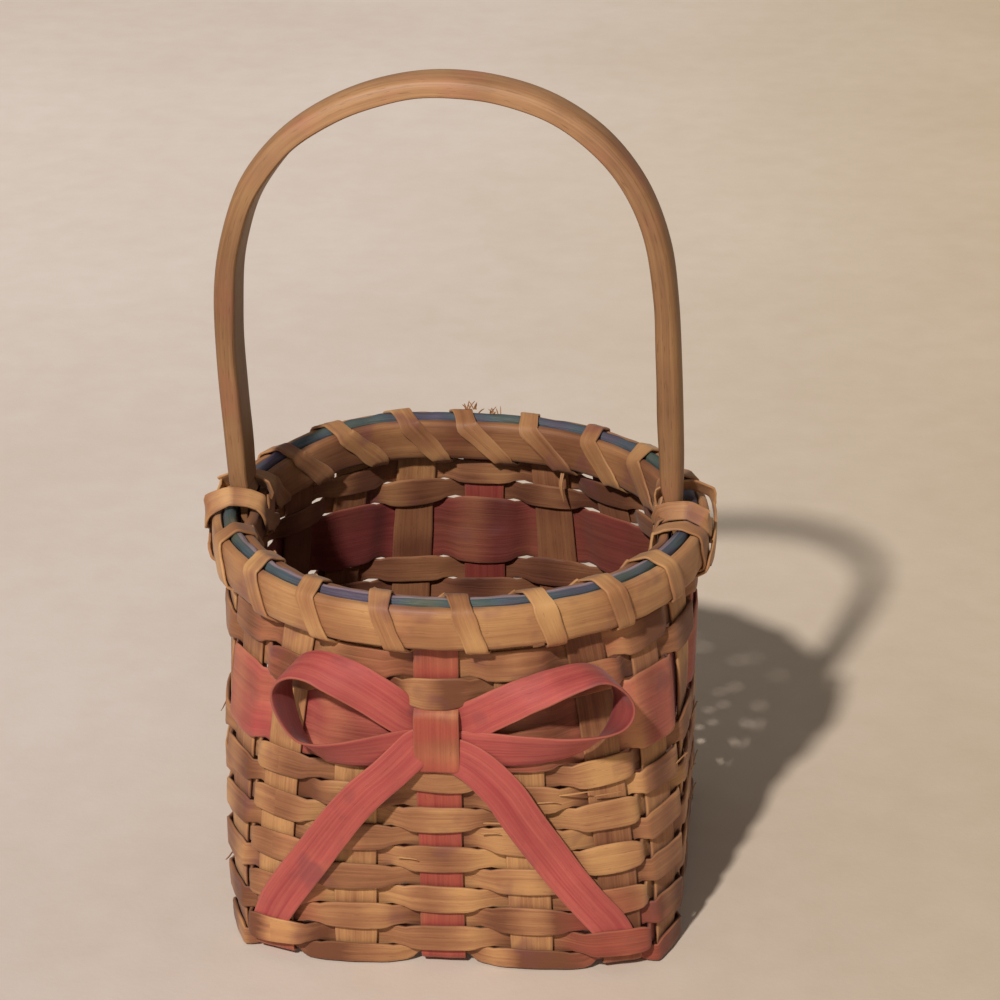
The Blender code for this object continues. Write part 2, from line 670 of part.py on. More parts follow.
def build():
    clear_scene()
    for number in range(-SIDE_STAKES, SIDE_STAKES + 1):
        label = number + SIDE_STAKES + 1
        colour = PINK_PALE if number == 0 else REED
        stake(f"stake_front_back_{label}", number, 0, True, colour)
        stake(f"stake_left_right_{label}", number, 3, False, colour)
    top = FIRST_ROW_TOP
    weaver("weaver_row_01", 1, FIRST_ROW_OUTER_FOOT, top, REED, inner_bottom=first_row_foot())
    for row in range(2, ROWS_BELOW_BAND + 1):
        bottom = top + ROW_GAP
        top = bottom + WEAVER_HEIGHT
        weaver(f"weaver_row_{row:02d}", row, bottom, top, REED_PALE if row % 3 else REED)
    band = ROWS_BELOW_BAND + 1
    weaver("pink_band", band, BAND_BOTTOM, BAND_TOP, PINK)
    top = BAND_TOP
    for row in range(band + 1, band + 1 + ROWS_ABOVE_BAND):
        bottom = top + ROW_GAP
        top = bottom + WEAVER_HEIGHT
        weaver(f"weaver_row_{row:02d}", row, bottom, top, REED)
    weaver("rim_row", band + 1 + ROWS_ABOVE_BAND, RIM_ROW_BOTTOM, WALL_TOP, REED_DARK)
    hoop("outer_rim_hoop", True, REED_PALE)
    hoop("inner_rim_hoop", False, REED)
    filler("rim_filler", BLUE)
    rim_lashing("rim_lashing", REED_PALE)
    handle("handle", WOOD)
    handle_wrap("handle_wrap_right", 0, REED_PALE)
    handle_wrap("handle_wrap_left", math.pi, REED_PALE)
    bow_loops("bow_loops", PINK)
    bow_tail("bow_tail_left", -1, PINK)
    bow_tail("bow_tail_right", 1, PINK)


build()
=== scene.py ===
"""A small basket of flat woven reed, with a dyed band, a lashed rim, a bent handle and a bow.

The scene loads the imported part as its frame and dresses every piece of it: each strip
of the weave, the rim, the handle and the bow are rebuilt with their real thickness,
their rounded edges, their small unevenness and their grain.
"""

import random
from math import copysign, cos, exp, log, pi, radians, remainder, sin, sqrt, tan, tau

import bpy
import numpy as np
from mathutils import Matrix, Vector


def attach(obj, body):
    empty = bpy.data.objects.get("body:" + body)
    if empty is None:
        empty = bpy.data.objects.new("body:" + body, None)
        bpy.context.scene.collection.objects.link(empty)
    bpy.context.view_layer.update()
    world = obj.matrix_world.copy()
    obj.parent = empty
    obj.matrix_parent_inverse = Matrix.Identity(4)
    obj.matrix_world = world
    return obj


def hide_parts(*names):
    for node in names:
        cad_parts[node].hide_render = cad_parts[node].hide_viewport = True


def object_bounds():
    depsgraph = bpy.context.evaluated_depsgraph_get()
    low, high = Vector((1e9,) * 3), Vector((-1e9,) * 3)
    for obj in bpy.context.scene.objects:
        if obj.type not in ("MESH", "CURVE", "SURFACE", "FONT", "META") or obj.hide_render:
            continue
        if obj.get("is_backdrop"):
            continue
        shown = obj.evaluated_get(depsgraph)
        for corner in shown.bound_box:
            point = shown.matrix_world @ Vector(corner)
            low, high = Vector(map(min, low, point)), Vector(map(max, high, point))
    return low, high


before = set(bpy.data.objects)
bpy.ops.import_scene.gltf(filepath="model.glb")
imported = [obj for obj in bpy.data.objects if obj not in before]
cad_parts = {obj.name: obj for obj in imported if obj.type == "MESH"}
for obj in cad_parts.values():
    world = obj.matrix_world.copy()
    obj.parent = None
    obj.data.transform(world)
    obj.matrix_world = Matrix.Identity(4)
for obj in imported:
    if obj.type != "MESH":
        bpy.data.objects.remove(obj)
cad_low, cad_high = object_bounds()

MM = 0.001
UP = np.array((0.0, 0.0, 1.0))

# Plan of the wall, as the part has it
BASE_HALF_SIZE = 58.7 * MM
BASE_CORNER_RADIUS = 18.5 * MM
RIM_RADIUS = 63.8 * MM
CORNER_ROUNDING_POWER = 1.3
FACES = 4
STAKES_EACH_WAY = 5
STAKE_COUNT = FACES * STAKES_EACH_WAY
SIDE_STAKES = STAKES_EACH_WAY // 2
STAKE_PLACES = (0.0, 24.0 * MM, 46.8 * MM)
STAKE_WIDTH = 12.2 * MM
STAKE_THICKNESS = 1.0 * MM
STAKE_BEND = 1.6 * MM
CLEARANCE = 0.5 * MM
GAP = 0.3 * MM
PASS_REACH = STAKE_WIDTH / 2 + CLEARANCE
LAYER_RISE = STAKE_THICKNESS + GAP

# Heights of the rows, as the part has them
WEAVER_THICKNESS = 1.0 * MM
WEAVE_OFFSET = 1.3 * MM
ROW_PITCH = 6.35 * MM
FIRST_ROW_TOP = 5.7 * MM
ROWS_BELOW_BAND = 10
BAND = ROWS_BELOW_BAND + 1
RIM_ROW = 14
BAND_BOTTOM = FIRST_ROW_TOP + (ROWS_BELOW_BAND - 1) * ROW_PITCH + GAP
BAND_TOP = BAND_BOTTOM + 19.4 * MM
LAST_ROW_TOP = BAND_TOP + 2 * ROW_PITCH
RIM_ROW_BOTTOM = LAST_ROW_TOP + 3.15 * MM
WALL_TOP = RIM_ROW_BOTTOM + 10.0 * MM
FIRST_FOOT_OUTSIDE = 0.6 * MM
FIRST_FOOT_INSIDE = 2.95 * MM

# Rim
HOOP_THICKNESS = 2.9 * MM
HOOP_HEIGHT = 11.6 * MM
HOOP_BOTTOM = WALL_TOP - 8.8 * MM
HOOP_TOP = HOOP_BOTTOM + HOOP_HEIGHT
HOOP_OFFSET = 2.3 * MM
FILLER_RADIUS = 2.0 * MM
FILLER_HEIGHT = WALL_TOP + GAP + FILLER_RADIUS
LASHING_WIDTH = 5.7 * MM
LASHING_THICKNESS = 0.8 * MM
LASHING_CLEARANCE = 0.18 * MM
WRAP_CLEARANCE = 0.2 * MM
SLOT_SHARE = 0.435
BULGE_FLAT = radians(7.5)
BULGE_END = radians(20.0)

# Handle
HANDLE_WIDTH = 11.5 * MM
HANDLE_THICKNESS = 6.2 * MM
HANDLE_RIM_THICKNESS = 2.8 * MM
HANDLE_TIP_THICKNESS = 2.2 * MM
HANDLE_TIP_WIDTH = 9.0 * MM
HANDLE_TANG = 35.0 * MM
HANDLE_EASE = 20.0 * MM
HANDLE_SIDE_LEAN = radians(-2.7)
HANDLE_BACK_LEAN = radians(4.8)
HANDLE_REACH = RIM_RADIUS - HOOP_OFFSET
BULGE_DEPTH = HANDLE_RIM_THICKNESS + GAP
LEG_CLEAR = 8.3 * MM / HANDLE_REACH
WRAP_LEAN = radians(48)

# Bow
BOW_THICKNESS = 0.9 * MM
KNOT_FOOT = BAND_BOTTOM - 2.0 * MM
KNOT_FOOT_RAMP = 2.0 * MM
KNOT_LIFT = 3.35 * MM
KNOT_RAMP = 3.2 * MM


# Small tools

def lerp(start, end, share):
    return start + (end - start) * share


def clamp(value, low=0.0, high=1.0):
    return min(max(value, low), high)


def smooth(share):
    share = np.clip(share, 0, 1)
    return share * share * (3 - 2 * share)


def unit(vectors):
    vectors = np.asarray(vectors, float)
    return vectors / np.linalg.norm(vectors, axis=-1, keepdims=True)


def distances(points):
    """Length of the way along a row of points, at each of them."""
    steps = np.linalg.norm(np.diff(points, axis=0), axis=1)
    return np.concatenate([[0], np.cumsum(steps)])


def travel(points, closed=False):
    """Direction of a row of points at each of them."""
    points = np.asarray(points, float)
    if closed:
        return unit(np.roll(points, -1, 0) - np.roll(points, 1, 0))
    return unit(np.gradient(points, axis=0))


def waves(seed, size, frequency):
    """A sum of seven sine waves, always the same for one seed."""
    chance = random.Random(seed)
    parts = [(frequency(chance), chance.uniform(0, tau), chance.uniform(0.5, 1)) for _ in range(7)]
    scale = size / sqrt(sum(part[2] ** 2 for part in parts) / 2)
    return lambda x: scale * sum(a * np.sin(k * x + p) for k, p, a in parts)


def wander(seed, size, shortest, longest):
    """A smooth wandering function of a length, with waves between the shortest and the longest."""
    bounds = log(shortest), log(longest)
    return waves(seed, size, lambda chance: tau / exp(chance.uniform(*bounds)))


def ring_wander(seed, size, fewest, most):
    """The same for a closed ring, as a function of the share of one round."""
    return waves(seed, size, lambda chance: tau * chance.randint(fewest, most))


def smooth_points(points, steps):
    """Points of a smooth curve through the given ones."""
    points = np.asarray(points, float)
    curve = []
    for i in range(len(points) - 1):
        p0, p1, p2 = points[max(i - 1, 0)], points[i], points[i + 1]
        p3 = points[min(i + 2, len(points) - 1)]
        for step in range(steps):
            t = step / steps
            curve.append(0.5 * (2 * p1 + (p2 - p0) * t + (2 * p0 - 5 * p1 + 4 * p2 - p3) * t ** 2
                                + (3 * p1 - p0 - 3 * p2 + p3) * t ** 3))
    curve.append(points[-1])
    return np.array(curve)


def linear(red, green, blue):
    """A colour given as it looks on a screen, from 0 to 255, as the shader wants it."""
    shares = [channel / 255 for channel in (red, green, blue)]
    return (*(s / 12.92 if s <= 0.04045 else ((s + 0.055) / 1.055) ** 2.4 for s in shares), 1.0)


# Wall of the basket, from its square base to its round rim

def round_share(z):
    return clamp(z / RIM_ROW_BOTTOM)


def half_size(z):
    return lerp(BASE_HALF_SIZE, RIM_RADIUS, round_share(z))


def corner_radius(z):
    return lerp(BASE_CORNER_RADIUS, RIM_RADIUS, round_share(z) ** CORNER_ROUNDING_POWER)


def base_place(number):
    """Where an upright crosses the middle of the base, from its centre."""
    return copysign(STAKE_PLACES[abs(number)], number)


def stake_place(number, z):
    quarter = 2 * (half_size(z) - corner_radius(z)) + corner_radius(z) * pi / 2
    return lerp(base_place(number), number * quarter / STAKES_EACH_WAY, round_share(z))


def turned(vector, face):
    x, y, z = vector
    for _ in range(face % FACES):
        x, y = -y, x
    return np.array((x, y, z))


# The wall stands out more on the right, most of all at its foot, and a little on the left
SPREAD_HEIGHTS = (0.0, 30 * MM, 52 * MM, 80 * MM, 98 * MM)
RIGHT_SPREAD = (3.2 * MM, 2.5 * MM, 1.5 * MM, 1.2 * MM, 0.0)
LEFT_SPREAD = (0.4 * MM, 0.9 * MM, 0.7 * MM, 0.0, 0.0)
SPREAD_START = 18 * MM
SPREAD_WAY = 34 * MM


def spread(x, z):
    """How far a point of the wall or the base is moved sideways."""
    amounts = RIGHT_SPREAD if x > 0 else LEFT_SPREAD
    share = smooth((abs(x) - SPREAD_START) / SPREAD_WAY)
    return copysign(float(np.interp(z, SPREAD_HEIGHTS, amounts)) * share, x)


def moved(point):
    x, y, z = point
    return np.array((x + spread(x, z), y, z))


def wall_point(face, along, z, out=0.0):
    """A point of the wall's middle surface moved outwards, its tangent and its normal."""
    radius = corner_radius(z)
    flat = half_size(z) - radius
    turn = max(abs(along) - flat, 0) / radius
    sign = copysign(1, along)
    point = (sign * (min(abs(along), flat) + radius * sin(turn)) + sign * sin(turn) * out,
             -flat - radius * cos(turn) - cos(turn) * out, z)
    tangent = (cos(turn), sign * sin(turn), 0)
    normal = (sign * sin(turn), -cos(turn), 0)
    return moved(turned(point, face)), turned(tangent, face), turned(normal, face)


def stake_frame(face, number, z):
    """Middle, tangent and normal of an upright, which stays flat where the wall curves."""
    along = stake_place(number, z)
    start = wall_point(face, along - STAKE_WIDTH / 2, z)[0]
    end = wall_point(face, along + STAKE_WIDTH / 2, z)[0]
    tangent = unit(end - start)
    return (start + end) / 2, tangent, np.array((tangent[1], -tangent[0], 0.0))


def is_outside(row, face, number):
    return (row + number + face * STAKES_EACH_WAY) % 2 == 0


def upright_at(index):
    """Face and number of an upright, counted round the basket from the front's first one."""
    return index // STAKES_EACH_WAY % FACES, index % STAKES_EACH_WAY - SIDE_STAKES


# Strips: a row of sections, each with its middle, its direction across and its face

FLAT_PROFILE = [
    (1, 0), (0.985, 0.5), (0.95, 0.82), (0.86, 0.96), (0.6, 1.0), (0.2, 1.02), (-0.2, 1.02),
    (-0.6, 1.0), (-0.86, 0.96), (-0.95, 0.82), (-0.985, 0.5), (-1, 0), (-0.985, -0.5),
    (-0.95, -0.82), (-0.86, -0.96), (-0.6, -1.0), (-0.2, -1.0), (0.2, -1.0), (0.6, -1.0),
    (0.86, -0.96), (0.95, -0.82), (0.985, -0.5)]

SURFACE_RELIEF = 0.035 * MM
BACK_FACE_SHIFT = 0.05


def new_object(name, data):
    made = bpy.data.objects.new(name, data)
    bpy.context.scene.collection.objects.link(made)
    return made


def mesh_from_rings(name, rings, closed, uv_along, uv_across, layers):
    """One closed mesh through the rings of points, with its strip coordinates and layers."""
    rings = np.asarray(rings, float)
    count, sides = rings.shape[:2]
    points = rings.reshape(-1, 3)
    i, j = np.meshgrid(np.arange(count if closed else count - 1), np.arange(sides), indexing="ij")
    ring_of = np.stack([i, i, i + 1, i + 1], -1).reshape(-1, 4)
    side_of = np.stack([j, j + 1, j + 1, j], -1).reshape(-1, 4)
    quads = ring_of % count * sides + side_of % sides
    a, b, c, d = (points[quads[:, k]] for k in range(4))
    volume = np.einsum("ij,ij->i", a, np.cross(b, c) + np.cross(c, d)).sum()
    order = -1 if volume < 0 else 1
    faces = quads[:, ::order].tolist()
    along_of = np.append(uv_along, uv_along[-1] + (uv_along[-1] - uv_along[-2]))
    across_of = np.append(uv_across, uv_across[0])
    corners = np.stack([along_of[ring_of[:, ::order]], across_of[side_of[:, ::order]]], -1).reshape(-1, 2)
    if not closed:
        first = np.arange(sides)
        last = first + (count - 1) * sides
        faces += [first[::-order].tolist(), last[::order].tolist()]
        ends = np.repeat((uv_along[0], uv_along[-1]), sides)
        corners = np.concatenate([corners, np.stack([ends, np.tile(uv_across, 2)], -1)])
    mesh = bpy.data.meshes.new(name)
    mesh.from_pydata(points.tolist(), [], faces)
    mesh.uv_layers.new(name="strip").data.foreach_set("uv", corners.ravel())
    for layer, values in layers.items():
        attribute = mesh.attributes.new(layer, "FLOAT", "POINT")
        attribute.data.foreach_set("value", np.broadcast_to(values, (count, sides)).astype(float).ravel())
    mesh.shade_smooth()
    mesh.set_sharp_from_angle(angle=radians(50))
    return new_object(name, mesh)


def inner_share(middles, faces, rise):
    """How far each point looks into the basket, from 0 to 1, and less towards the rim: the mask of the
    painted shade inside the basket.
    """
    outward = middles * (1, 1, 0)
    outward[middles[:, 2] < 3 * MM] = -UP
    facing = (unit(outward) * faces).sum(1)
    paler = 1 - 0.6 * np.clip((middles[:, 2] - BAND_TOP) / (12 * MM), 0, 1)
    return np.clip(0.5 - 1.2 * facing[:, None] * rise[None, :], 0, 1) * paler[:, None]


def strip(name, middles, across, faces, widths, thickness, tone, pink, closed=False):
    """A flat strip through its sections, with rounded edges and a slightly uneven surface.

    tone and pink are numbers for the whole strip, or hold one for each section.
    """
    middles, widths = np.asarray(middles, float), np.asarray(widths, float)
    across, faces = unit(across), unit(faces)
    along = distances(middles)
    side, rise = np.array(FLAT_PROFILE).T
    bumps = np.stack([
        wander(f"{name} ridge {k}", SURFACE_RELIEF, 6 * MM, 60 * MM)(along) for k in range(len(side))], 1)
    if closed:
        # The bumps at the start ease in from those at the end
        blend = np.clip(along / (along[-1] * 0.05), 0, 1)[:, None]
        bumps = bumps * blend + bumps[-1] * (1 - blend)
    lift = rise * thickness / 2 + bumps * np.sign(rise)
    reach = side * widths[:, None] / 2
    rings = middles[:, None] + across[:, None] * reach[..., None] + faces[:, None] * lift[..., None]
    rings[..., 2] = np.maximum(rings[..., 2], 0)
    chance = random.Random(name)
    along_shift, across_shift = chance.uniform(0, 9), chance.uniform(0, 9)
    uv_across = side * widths.mean() / 2 + np.where(rise < 0, BACK_FACE_SHIFT, 0) + across_shift
    layers = {"tone": np.reshape(tone, (-1, 1)), "pink": np.reshape(pink, (-1, 1)), "edge": np.abs(side),
              "inner": inner_share(middles, faces, rise)}
    return mesh_from_rings(name, rings, closed, along + along_shift, uv_across, layers)


def strip_between(name, lows, highs, thickness, tone, pink, closed=False):
    """A flat strip between its two edges."""
    middles, across = (lows + highs) / 2, highs - lows
    faces = np.cross(travel(middles, closed), across)
    return strip(name, middles, across, faces, np.linalg.norm(across, axis=1), thickness, tone, pink, closed)


# Materials

class Pattern:
    """A material or a world, with short ways to add the noises, sums and mixes of its pattern."""

    def __init__(self, owner):
        owner.use_nodes = True
        self.owner = owner
        self.tree = owner.node_tree

    def feed(self, node, inputs):
        """Links or sets a node's inputs, which are given by name or in order."""
        for key, value in (inputs.items() if isinstance(inputs, dict) else enumerate(inputs)):
            if isinstance(value, bpy.types.NodeSocket):
                self.tree.links.new(value, node.inputs[key])
            else:
                node.inputs[key].default_value = value

    def add(self, kind, inputs=(), **settings):
        """The outputs of a new node with its settings and inputs."""
        made = self.tree.nodes.new("ShaderNode" + kind)
        for key, value in settings.items():
            setattr(made, key, value)
        self.feed(made, inputs)
        return made.outputs

    def place(self):
        return self.add("TexCoord")["Object"]

    def layer(self, name):
        return self.add("Attribute", attribute_name=name)["Fac"]

    def noise(self, scale, detail=2.0, roughness=0.5, vector=None, distortion=0.0):
        """Noise in the object's own space, or in that of the given vector."""
        return self.add("TexNoise", {
            "Vector": vector or self.place(), "Scale": scale, "Detail": detail,
            "Roughness": roughness, "Distortion": distortion})[0]

    def grain(self, along, across, detail, roughness, distortion=0.0):
        """Noise on a strip, with so many spots to a metre along it and across it."""
        strip = self.add("UVMap", uv_map="strip")[0]
        vector = self.add("VectorMath", [strip, (along, across, 1)], operation="MULTIPLY")[0]
        return self.noise(1.0, detail, roughness, vector, distortion)

    def total(self, *terms, start=0.0):
        """The sum of the values, each times its weight, and a start."""
        for value, weight in terms:
            start = self.add("Math", [value, weight, start], operation="MULTIPLY_ADD")[0]
        return start

    def ranged(self, value, low, high, to_low=0.0, to_high=1.0):
        return self.add("MapRange", [value, low, high, to_low, to_high])[0]

    def mix(self, factor, first, second, blend="MIX"):
        return self.add("Mix", {0: factor, 6: first, 7: second}, data_type="RGBA", blend_type=blend)[2]

    def ramp(self, value, *stops):
        """Colours at their positions, from the lowest to the highest."""
        colour = self.add("ValToRGB", [value])[0]
        elements = colour.node.color_ramp.elements
        elements[0].position, elements[0].color = stops[0]
        elements[1].position, elements[1].color = stops[-1]
        for position, shade in stops[1:-1]:
            elements.new(position).color = shade
        return colour

    def finish(self, inputs, height, strength, depth):
        """The material, with its shader's inputs and a relief from the height."""
        relief = self.add("Bump", {"Height": height, "Strength": strength, "Distance": depth})[0]
        self.feed(self.tree.nodes["Principled BSDF"], {**inputs, "Normal": relief})
        return self.owner


def reed_material(name, dark, middle, pale, dye, dye_pale, roughness=0.62, fibre_depth=0.5):
    """Split reed: long fibres, blotches along the strip, dye where the layer says so, and painted shade on
    the faces that look into the basket.
    """
    made = Pattern(bpy.data.materials.new(name))
    fibre = made.grain(22, 1500, 4.0, 0.65)
    fine = made.grain(90, 5200, 2.0, 0.5)
    streak = made.grain(14, 420, 3.0, 0.6)
    blotch = made.grain(70, 110, 3.0, 0.55)
    pore = made.grain(320, 2600, 1.0, 0.5)
    tone = made.layer("tone")

    level = made.total((fibre, 0.30), (streak, 0.30), (blotch, 0.25), (fine, 0.15), (tone, 0.55),
                       start=-0.275)
    natural = made.ramp(level, (0.30, dark), (0.50, middle), (0.72, pale))
    dyed = made.mix(made.ranged(made.total((streak, 0.5), (fibre, 0.5)), 0.36, 0.66), dye, dye_pale)
    shade = made.ranged(made.total((blotch, 1.0), (tone, 0.5)), 0.45, 1.05, 0.86, 1.10)
    dyed = made.mix(1.0, dyed, made.add("CombineColor", [shade, shade, shade])[0], "MULTIPLY")
    soak = made.total((made.layer("pink"), 1.0), (made.noise(55.0), 0.7), (fibre, 0.4), start=-0.55)
    colour = made.mix(made.ranged(soak, 0.22, 0.78), natural, dyed)
    dashes = made.ranged(pore, 0.66, 0.74, 0.0, 0.35)
    colour = made.mix(dashes, colour, dark)
    edge = made.add("Math", [made.layer("edge"), 14.0], operation="POWER")[0]
    colour = made.mix(made.ranged(edge, 0.2, 1.0, 0.0, 0.22), colour, pale)
    # Painted shade: faces that look into the basket are darkened, since the inside gets less light
    inside_painted_shade = made.mix(1.0, colour, linear(186, 168, 172), "MULTIPLY")
    colour = made.mix(made.layer("inner"), colour, inside_painted_shade)
    colour = made.mix(made.ranged(made.noise(85.0), 0.60, 0.72, 0.0, 0.45), colour, linear(112, 62, 66))

    rough = made.ranged(fibre, 0.3, 0.7, roughness - 0.10, roughness + 0.14)
    height = made.total((fibre, 0.6), (fine, 0.25), (streak, 0.35), (dashes, -0.4))
    return made.finish({"Base Color": colour, "Roughness": rough, "Specular IOR Level": 0.32,
                        "Sheen Weight": 0.08, "Sheen Roughness": 0.5}, height, fibre_depth, 0.35 * MM)


PINK = linear(158, 62, 62)
PINK_PALE = linear(186, 94, 82)
TAN_DARK = linear(112, 66, 42)
TAN = linear(156, 105, 70)
TAN_PALE = linear(196, 146, 94)

reed = reed_material("natural_reed", TAN_DARK, TAN, TAN_PALE, linear(150, 62, 54), linear(176, 88, 68))
dyed_reed = reed_material("pink_reed", TAN_DARK, TAN, TAN_PALE, PINK, PINK_PALE)
hoop_reed = reed_material("hoop_reed", linear(126, 80, 50), linear(164, 114, 74), linear(196, 148, 96),
                          linear(148, 70, 64), linear(170, 94, 76), roughness=0.55, fibre_depth=0.4)


def dress(body, material, node):
    body.data.materials.append(material)
    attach(body, "root")
    if node:
        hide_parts(node)


# Rows and rim that climb at the back of the basket

RIM_CLIMB = 2.1 * MM
RIM_CLIMB_MIDDLE = radians(112)
RIM_CLIMB_WIDTH = radians(28)
BAND_BOTTOM_CLIMB = 4.5 * MM
BAND_TOP_CLIMB = 3.6 * MM
CLIMB_HEIGHTS = (0.0, BAND_BOTTOM, BAND_TOP, BAND_TOP + 15.0 * MM, WALL_TOP)


def back_rise(angle):
    """How far the rim stands higher, most of all at the back left."""
    away = remainder(angle - RIM_CLIMB_MIDDLE, tau) / RIM_CLIMB_WIDTH
    return RIM_CLIMB * exp(-away * away)


def climb(turn, z):
    """How far a row lies higher towards the back. turn counts the uprights it has passed."""
    around = tau * (turn - SIDE_STAKES) / STAKE_COUNT
    back = smooth((0.35 - 0.5 * cos(around)) / 0.75)
    rise = back_rise(around - pi / 2)
    climbs = (0.0, BAND_BOTTOM_CLIMB * back, BAND_TOP_CLIMB * back, rise, rise)
    return float(np.interp(z, CLIMB_HEIGHTS, climbs))


# Uprights

PRESS = 0.13 * MM
STAKE_STEP = 1.3 * MM
BEND_STEPS = 6
BASE_STEPS = 6
HALF_ROW = 3.0 * MM
KNOT_SHARES = (0, 0.25, 0.5, 0.75, 1)

# How much narrower the uprights are, from the middle one of a face to its outer ones
NARROWER = (0.0, 0.5 * MM, 0.9 * MM)
WIDTH_ROOM = 0.1 * MM

# How far the dye shows on the middle uprights, in general, at the front and on the knot
MIDDLE_DYE, FRONT_DYE, KNOT_DYE = 0.8, 0.74, 0.66
CORNER_DYE = 0.62

ROW_CENTRES = [FIRST_ROW_TOP - HALF_ROW + row * ROW_PITCH for row in range(ROWS_BELOW_BAND)]
ROW_CENTRES += [(BAND_BOTTOM + BAND_TOP) / 2, BAND_TOP + GAP + HALF_ROW,
                BAND_TOP + ROW_PITCH + GAP + HALF_ROW, (RIM_ROW_BOTTOM + WALL_TOP) / 2]


def press(face, number, z):
    """How far an upright is pushed out, between the rows in front of it and behind it."""
    signs = [-1 if is_outside(row + 1, face, number) else 1 for row in range(len(ROW_CENTRES))]
    turn = face % FACES * STAKES_EACH_WAY + number + SIDE_STAKES
    value = float(np.interp(z, [centre + climb(turn, centre) for centre in ROW_CENTRES], signs))
    return PRESS * sin(value * pi / 2)


def knot_lift(z):
    return KNOT_LIFT * min(smooth((z - KNOT_FOOT) / KNOT_FOOT_RAMP), smooth((BAND_TOP - z) / KNOT_RAMP))


def upright(face, number, foot, lifted, width_at):
    """Sections of one upright from its bend at the base to the top of the wall."""
    bend_top = foot + STAKE_BEND
    middle, tangent, normal = stake_frame(face, number, bend_top)
    centre = middle - normal * STAKE_BEND
    sections = []
    for step in range(BEND_STEPS):
        angle = pi / 2 * step / BEND_STEPS
        arm = normal * sin(angle) - UP * cos(angle)
        sections.append((centre + arm * STAKE_BEND, tangent, arm, width_at(bend_top)))
    heights = {*np.arange(bend_top, WALL_TOP - 0.2 * MM, STAKE_STEP), WALL_TOP}
    if lifted:
        heights.update(KNOT_FOOT + KNOT_FOOT_RAMP * share for share in KNOT_SHARES)
        heights.update(BAND_TOP - KNOT_RAMP * share for share in KNOT_SHARES)
    for z in sorted(heights):
        middle, tangent, normal = stake_frame(face, number, z)
        fade = smooth((z - bend_top) / (4 * MM)) * smooth((WALL_TOP - z) / (8 * MM))
        out = press(face, number, z) * fade + (knot_lift(z) if lifted else 0)
        sections.append((middle + normal * out, tangent, normal, width_at(z)))
    return sections


def stake(name, number, first_face, over_at_middle):
    """One strip up a wall, across the base and up the opposite wall."""
    vary = wander(name + " width", 0.22 * MM, 20 * MM, 120 * MM)
    widest = STAKE_WIDTH - NARROWER[abs(number)] - WIDTH_ROOM

    def width_at(z, sign=1):
        return widest + min(vary(z * sign), WIDTH_ROOM)

    def base_height(crossing):
        is_over = (number + crossing) % 2 == (0 if over_at_middle else 1)
        return STAKE_THICKNESS / 2 + (LAYER_RISE if is_over else 0)

    foot = base_height(SIDE_STAKES)
    lifted = first_face == 0 and number == 0
    near = upright(first_face, number, foot, lifted, width_at)
    sections = [(middle, -tangent, normal, width) for middle, tangent, normal, width in reversed(near)]
    stops = [(base_place(crossing) + side * PASS_REACH, base_height(crossing))
             for crossing in range(-SIDE_STAKES, SIDE_STAKES + 1) for side in (-1, 1)]
    ground = [(lerp(start, end, step / BASE_STEPS), lerp(low, high, smooth(step / BASE_STEPS)))
              for (start, low), (end, high) in zip(stops, stops[1:]) for step in range(BASE_STEPS)]
    across = turned((-1, 0, 0), first_face)
    for way, height in ground + stops[-1:]:
        place = moved(turned((base_place(number), way, height), first_face))
        sections.append((place, across, -UP, width_at(0)))
    sections += upright(first_face + 2, -number, foot, False, lambda z: width_at(z, -1))
    middles, sides, faces, widths = (np.array(column) for column in zip(*sections))
    heading = travel(middles)
    faces = unit(faces - heading * (faces * heading).sum(1)[:, None])
    count = np.arange(len(middles))
    drift = wander(name + " tone", 0.10, 15 * MM, 90 * MM)(count * STAKE_STEP)
    soak = wander(name + " soak", 0.12, 10 * MM, 60 * MM)
    y, z = middles[:, 1], middles[:, 2]
    if number == 0:
        pink = MIDDLE_DYE + soak(count * STAKE_STEP)
        if lifted:
            pink += (FRONT_DYE - MIDDLE_DYE) * (y < 0)
            pink += (KNOT_DYE - FRONT_DYE) * ((y < 0) & (z > KNOT_FOOT) & (z < BAND_TOP))
    elif abs(number) == SIDE_STAKES:
        pink = CORNER_DYE * smooth((9 * MM - z) / (8 * MM)) + soak(count * MM) * 0.5
    else:
        pink = soak(count * STAKE_STEP) * 0.5
    tone = random.Random(name).uniform(0.34, 0.66) + drift
    made = strip(name, middles, sides, faces, widths, STAKE_THICKNESS, tone, pink)
    dress(made, reed, name)


for number in range(-SIDE_STAKES, SIDE_STAKES + 1):
    stake(f"stake_front_back_{number + SIDE_STAKES + 1}", number, 0, True)
    stake(f"stake_left_right_{number + SIDE_STAKES + 1}", number, 3, False)


# Weavers

STEPS_PER_STAKE = 14
SWELL = 0.22
FULLNESS = 0.90 * MM
EDGE_LAP = 0.09 * MM
LEAST_HOLE, WIDEST_HOLE = 0.02 * MM, 0.36 * MM
KNOT_DIP_ABOVE, KNOT_DIP_BELOW = 1.2 * MM, 2.4 * MM
CORNER_PAINTED_SHADE = 0.28

# Rows that are pushed out further where the bow's tails and its knot pass below them
PUSHED = {(2, 0, -2): 1.05 * MM, (2, 0, 2): 1.05 * MM, (BAND + 1, 0, 0): 0.8 * MM}

# The line between each two rows wanders, and both rows follow it
seams = [ring_wander(f"seam {k}", 0.24 * MM, 3, 16) for k in range(RIM_ROW + 1)]


def passing(row, index, z):
    """A row's way past an upright, as a function of how far it is from its middle, and its direction."""
    face, number = upright_at(index)
    middle, tangent, normal = stake_frame(face, number, z)
    offset = WEAVE_OFFSET if is_outside(row, face, number) else -WEAVE_OFFSET
    push = PUSHED.get((row, face, number), 0.0)

    def place(s):
        near = s / PASS_REACH
        out = offset * (1 + SWELL * (1 - near * near) ** 2) + push * (1 - 0.4 * near * near)
        return middle + normal * out + tangent * s

    return place, tangent


